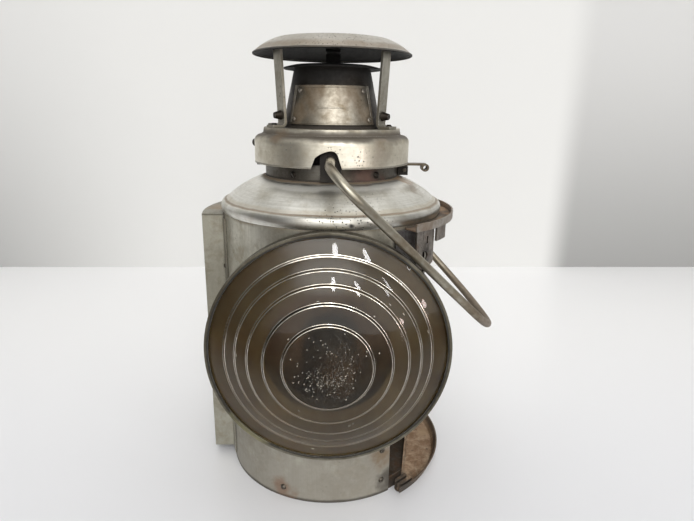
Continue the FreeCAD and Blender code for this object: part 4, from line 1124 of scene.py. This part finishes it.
class LAMP_OT_burner(bpy.types.Operator):
    """Finish the fount and the burner, and make the wick and its knob"""

    bl_idname = "lamp.burner"
    bl_label = "Burner"

    def execute(self, context):
        look = context.scene.lamp_finish
        brass = plating(
            "burner_brass", look.brass, (0.05, 0.034, 0.02), 0.5, None, 0.9,
            bands=(("z", 0.097, 0.022, SOOT, 0.9),),
        )
        finish(brass, "burner_collar", "burner_gallery", "wick_tube", "draft_cone", "wick_shaft")
        fount = plating("fount_plating", (0.16, 0.135, 0.105), (0.07, 0.055, 0.04), 0.48, None, 0.9)
        finish(fount, "fount_tank", "filler_cap")
        points, faces = lathe(KNOB_PROFILE, KNOB_SEGMENTS, self.on_shaft, True, KNOB_FLUTE)
        piece("knurled_knob", points, faces, brass, "wick_drive", ("wick_knob",))
        self.wick(self.cotton(look))
        return {"FINISHED"}

    def on_shaft(self, across, up, along):
        return (KNOB_X + along, SHAFT_Y + across, SHAFT_Z + up)

    def cotton(self, look):
        """Cotton tape that is charred at its top."""
        surface = Surface("wick_cotton")
        fibre = surface.noise(1.0, 3.0, 0.6, surface.stretched(2600.0, 2600.0, 700.0))
        tint = surface.mix(surface.fade(fibre, 0.3, 0.7), look.cotton, (0.36, 0.29, 0.19))
        level = surface.plus(surface.place()["z"], surface.times(surface.noise(500.0), 0.002))
        char = surface.fade(level, CHAR_FROM, CHAR_TO)
        surface.set(
            Base_Color=surface.mix(char, tint, SOOT), Roughness=0.95, Sheen_Weight=0.3,
            Normal=surface.bump(fibre, 0.2 * MM, 0.8),
        )
        return surface.material

    def wick(self, material):
        """Woven tape: cords side by side across its width, bound by rows of weft."""
        points, faces = [], []
        for row in range(WICK_ROWS + 1):
            z = WICK_LOW + (WICK_HIGH - WICK_LOW) * row / WICK_ROWS
            for index in range(WICK_AROUND):
                angle = 2 * math.pi * index / WICK_AROUND
                x = 0.5 * WICK_WIDTH * math.copysign(abs(math.cos(angle)) ** 0.35, math.cos(angle))
                y = 0.5 * WICK_THICK * math.copysign(abs(math.sin(angle)) ** 0.5, math.sin(angle))
                warp = abs(math.sin(math.pi * WICK_CORDS * x / WICK_WIDTH))
                weft = math.sin(math.pi * (row / WEFT_ROWS + math.floor(WICK_CORDS * x / WICK_WIDTH)))
                pull = 1 - WARP_DEPTH * (1 - warp) - WEFT_DEPTH * (1 - weft)
                points.append((x * (1 - WEFT_WAVE + WEFT_WAVE * weft), y * pull, z))
        for row in range(WICK_ROWS):
            first, second = row * WICK_AROUND, (row + 1) * WICK_AROUND
            for index in range(WICK_AROUND):
                after = (index + 1) % WICK_AROUND
                faces.append((first + index, first + after, second + after, second + index))
        faces.append(tuple(range(WICK_AROUND)))
        faces.append(tuple(WICK_ROWS * WICK_AROUND + index for index in range(WICK_AROUND)))
        piece("woven_wick", points, faces, material, "wick", ("wick",), sharp=80.0)


def plane(name, corners, material):
    mesh = bpy.data.meshes.new(name)
    mesh.from_pydata(corners, [], [range(len(corners))])
    mesh.materials.append(material)
    thing = bpy.data.objects.new(name, mesh)
    bpy.context.scene.collection.objects.link(thing)


def soft_light(name, place, target, size, power, tint=(1, 1, 1), shape="ELLIPSE"):
    data = bpy.data.lights.new(name, "AREA")
    data.shape = shape
    data.size, data.size_y = size
    data.energy = power
    data.color = tint
    lamp = bpy.data.objects.new(name, data)
    lamp.location = place
    lamp.rotation_euler = (Vector(target) - Vector(place)).to_track_quat("-Z", "Y").to_euler()
    bpy.context.scene.collection.objects.link(lamp)


def facing_lens(azimuth, elevation, distance):
    """Place seen from the lens at an azimuth from straight ahead towards +X and an elevation, in degrees."""
    turn, up = math.radians(azimuth), math.radians(elevation)
    ray = Vector((math.sin(turn) * math.cos(up), -math.cos(turn) * math.cos(up), math.sin(up)))
    return LENS_AIM + ray * distance


class LAMP_OT_stage(bpy.types.Operator):
    """Set up the floor, the backdrop, the light and the camera"""

    bl_idname = "lamp.stage"
    bl_label = "Stage"

    def execute(self, context):
        stage = context.scene.lamp_stage
        # Painted shade on the table top: it fades to a dark edge in front of the view, standing in for the dim
        # room ahead
        floor = Surface("stage_floor")
        depth = floor.place()["y"]
        shade = floor.mix(floor.fade(depth, *FLOOR_FAR), stage.floor, stage.floor_far)
        shade = floor.mix(floor.fade(depth, *FLOOR_NEAR), shade, stage.table_edge)
        floor.set(Base_Color=shade, Roughness=0.28)
        # Painted light and shade on the backdrop: darker towards the table, with a painted pool of light behind
        # the lamp
        wall = Surface("stage_wall")
        across = wall.place()["x"]
        shade = wall.mix(wall.fade(wall.place()["z"], *WALL_RISE), stage.wall_low, stage.wall_high)
        middle = wall.times(wall.fade(across, *WALL_LEFT), wall.fade(across, *WALL_RIGHT))
        wall.set(Base_Color=wall.mix(middle, shade, stage.wall), Roughness=0.8)
        backdrop = wall.cleared(wall.node("ShaderNodeNewGeometry").outputs["Backfacing"])
        left, right = (-STAGE_HALF, BACK_LEFT), (STAGE_HALF, BACK_RIGHT)
        front = [(-STAGE_HALF, TABLE_FRONT, 0), (STAGE_HALF, TABLE_FRONT, 0)]
        plane("floor", [*front, (*right, 0), (*left, 0)], floor.material)
        plane("wall", [(*left, 0), (*right, 0), (*right, STAGE_HALF), (*left, STAGE_HALF)], backdrop)
        soft_light("ceiling", CEILING, CEILING_AIM, CEILING_SIZE, CEILING_POWER, shape="RECTANGLE")
        for index, (azimuth, elevation, power) in enumerate(PANELS):
            place = facing_lens(azimuth, elevation, PANEL_DISTANCE)
            soft_light("panel_%d" % (index + 1), place, LENS_AIM, PANEL_SIZE, power)
        place = facing_lens(*LOW_PANEL)
        soft_light("low_panel", place, LENS_AIM, LOW_PANEL_SIZE, LOW_PANEL_POWER, LOW_PANEL_TINT)
        self.room(context, stage)
        self.camera(context, stage)
        context.scene.view_settings.view_transform = "Standard"
        return {"FINISHED"}

    def room(self, context, stage):
        """World light, brighter overhead and dimmer ahead and at the left, with a window and a glow in front."""
        world = bpy.data.worlds.new("room")
        world.use_nodes = True
        light = Shading(world.node_tree)
        split = light.node("ShaderNodeSeparateXYZ")
        light.feed(split.inputs[0], light.node("ShaderNodeTexCoord").outputs["Generated"])
        x, y, z = split.outputs
        around = light.times(
            light.fade(z, *ROOM_RISE, stage.room, stage.sky),
            light.fade(y, *ROOM_AHEAD, stage.front, 1.0),
            light.fade(x, *ROOM_SIDES),
        )
        turn = math.radians(WINDOW_AZIMUTH)
        ahead = light.math("SUBTRACT", light.times(x, math.sin(turn)), light.times(y, math.cos(turn)))
        level = light.math("ABSOLUTE", light.math("SUBTRACT", z, math.sin(math.radians(WINDOW_ELEVATION))))
        window = light.fade(ahead, *WINDOW_WIDE, 0.0, stage.window)
        window = light.times(window, light.fade(level, *WINDOW_HIGH))
        toward = facing_lens(GLOW_AZIMUTH, GLOW_ELEVATION, 1.0) - LENS_AIM
        glow = light.plus(*(light.times(part, share) for part, share in zip((x, y, z), toward)))
        window = light.plus(window, light.fade(glow, *GLOW_WIDE, 0.0, stage.glow))
        background = world.node_tree.nodes["Background"]
        light.feed(background.inputs[0], ROOM_TINT)
        light.feed(background.inputs[1], light.plus(around, window))
        context.scene.world = world

    def camera(self, context, stage):
        camera = bpy.data.cameras.new("camera")
        camera.lens = stage.focal
        camera.sensor_width = SENSOR_WIDTH
        view = bpy.data.objects.new("camera", camera)
        view.matrix_world = Matrix.Translation(CAMERA_PLACE) @ Matrix(CAMERA_AXES).to_4x4()
        context.scene.collection.objects.link(view)
        context.scene.camera = view


class LAMP_PT_panel(bpy.types.Panel):
    """Sidebar list of the lamp's operators"""

    bl_idname = "LAMP_PT_panel"
    bl_label = "Oil Signal Lamp"
    bl_space_type = "VIEW_3D"
    bl_region_type = "UI"
    bl_category = "Lamp"

    def draw(self, context):
        for group in (context.scene.lamp_finish, context.scene.lamp_stage):
            for key in group.__annotations__:
                self.layout.prop(group, key)
        for maker in MAKERS:
            self.layout.operator(maker.bl_idname)


MAKERS = (
    LAMP_OT_body,
    LAMP_OT_fasteners,
    LAMP_OT_lid,
    LAMP_OT_door,
    LAMP_OT_lens,
    LAMP_OT_bail,
    LAMP_OT_burner,
    LAMP_OT_stage,
)
CLASSES = (LampFinish, LampStage, *MAKERS, LAMP_PT_panel)


def register():
    for item in CLASSES:
        bpy.utils.register_class(item)
    bpy.types.Scene.lamp_finish = PointerProperty(type=LampFinish)
    bpy.types.Scene.lamp_stage = PointerProperty(type=LampStage)


def unregister():
    del bpy.types.Scene.lamp_stage
    del bpy.types.Scene.lamp_finish
    for item in reversed(CLASSES):
        bpy.utils.unregister_class(item)


def main():
    register()
    bpy.ops.lamp.body()
    bpy.ops.lamp.fasteners()
    bpy.ops.lamp.lid()
    bpy.ops.lamp.door()
    bpy.ops.lamp.lens()
    bpy.ops.lamp.bail()
    bpy.ops.lamp.burner()
    bpy.ops.lamp.stage()


if __name__ == "__main__":
    main()
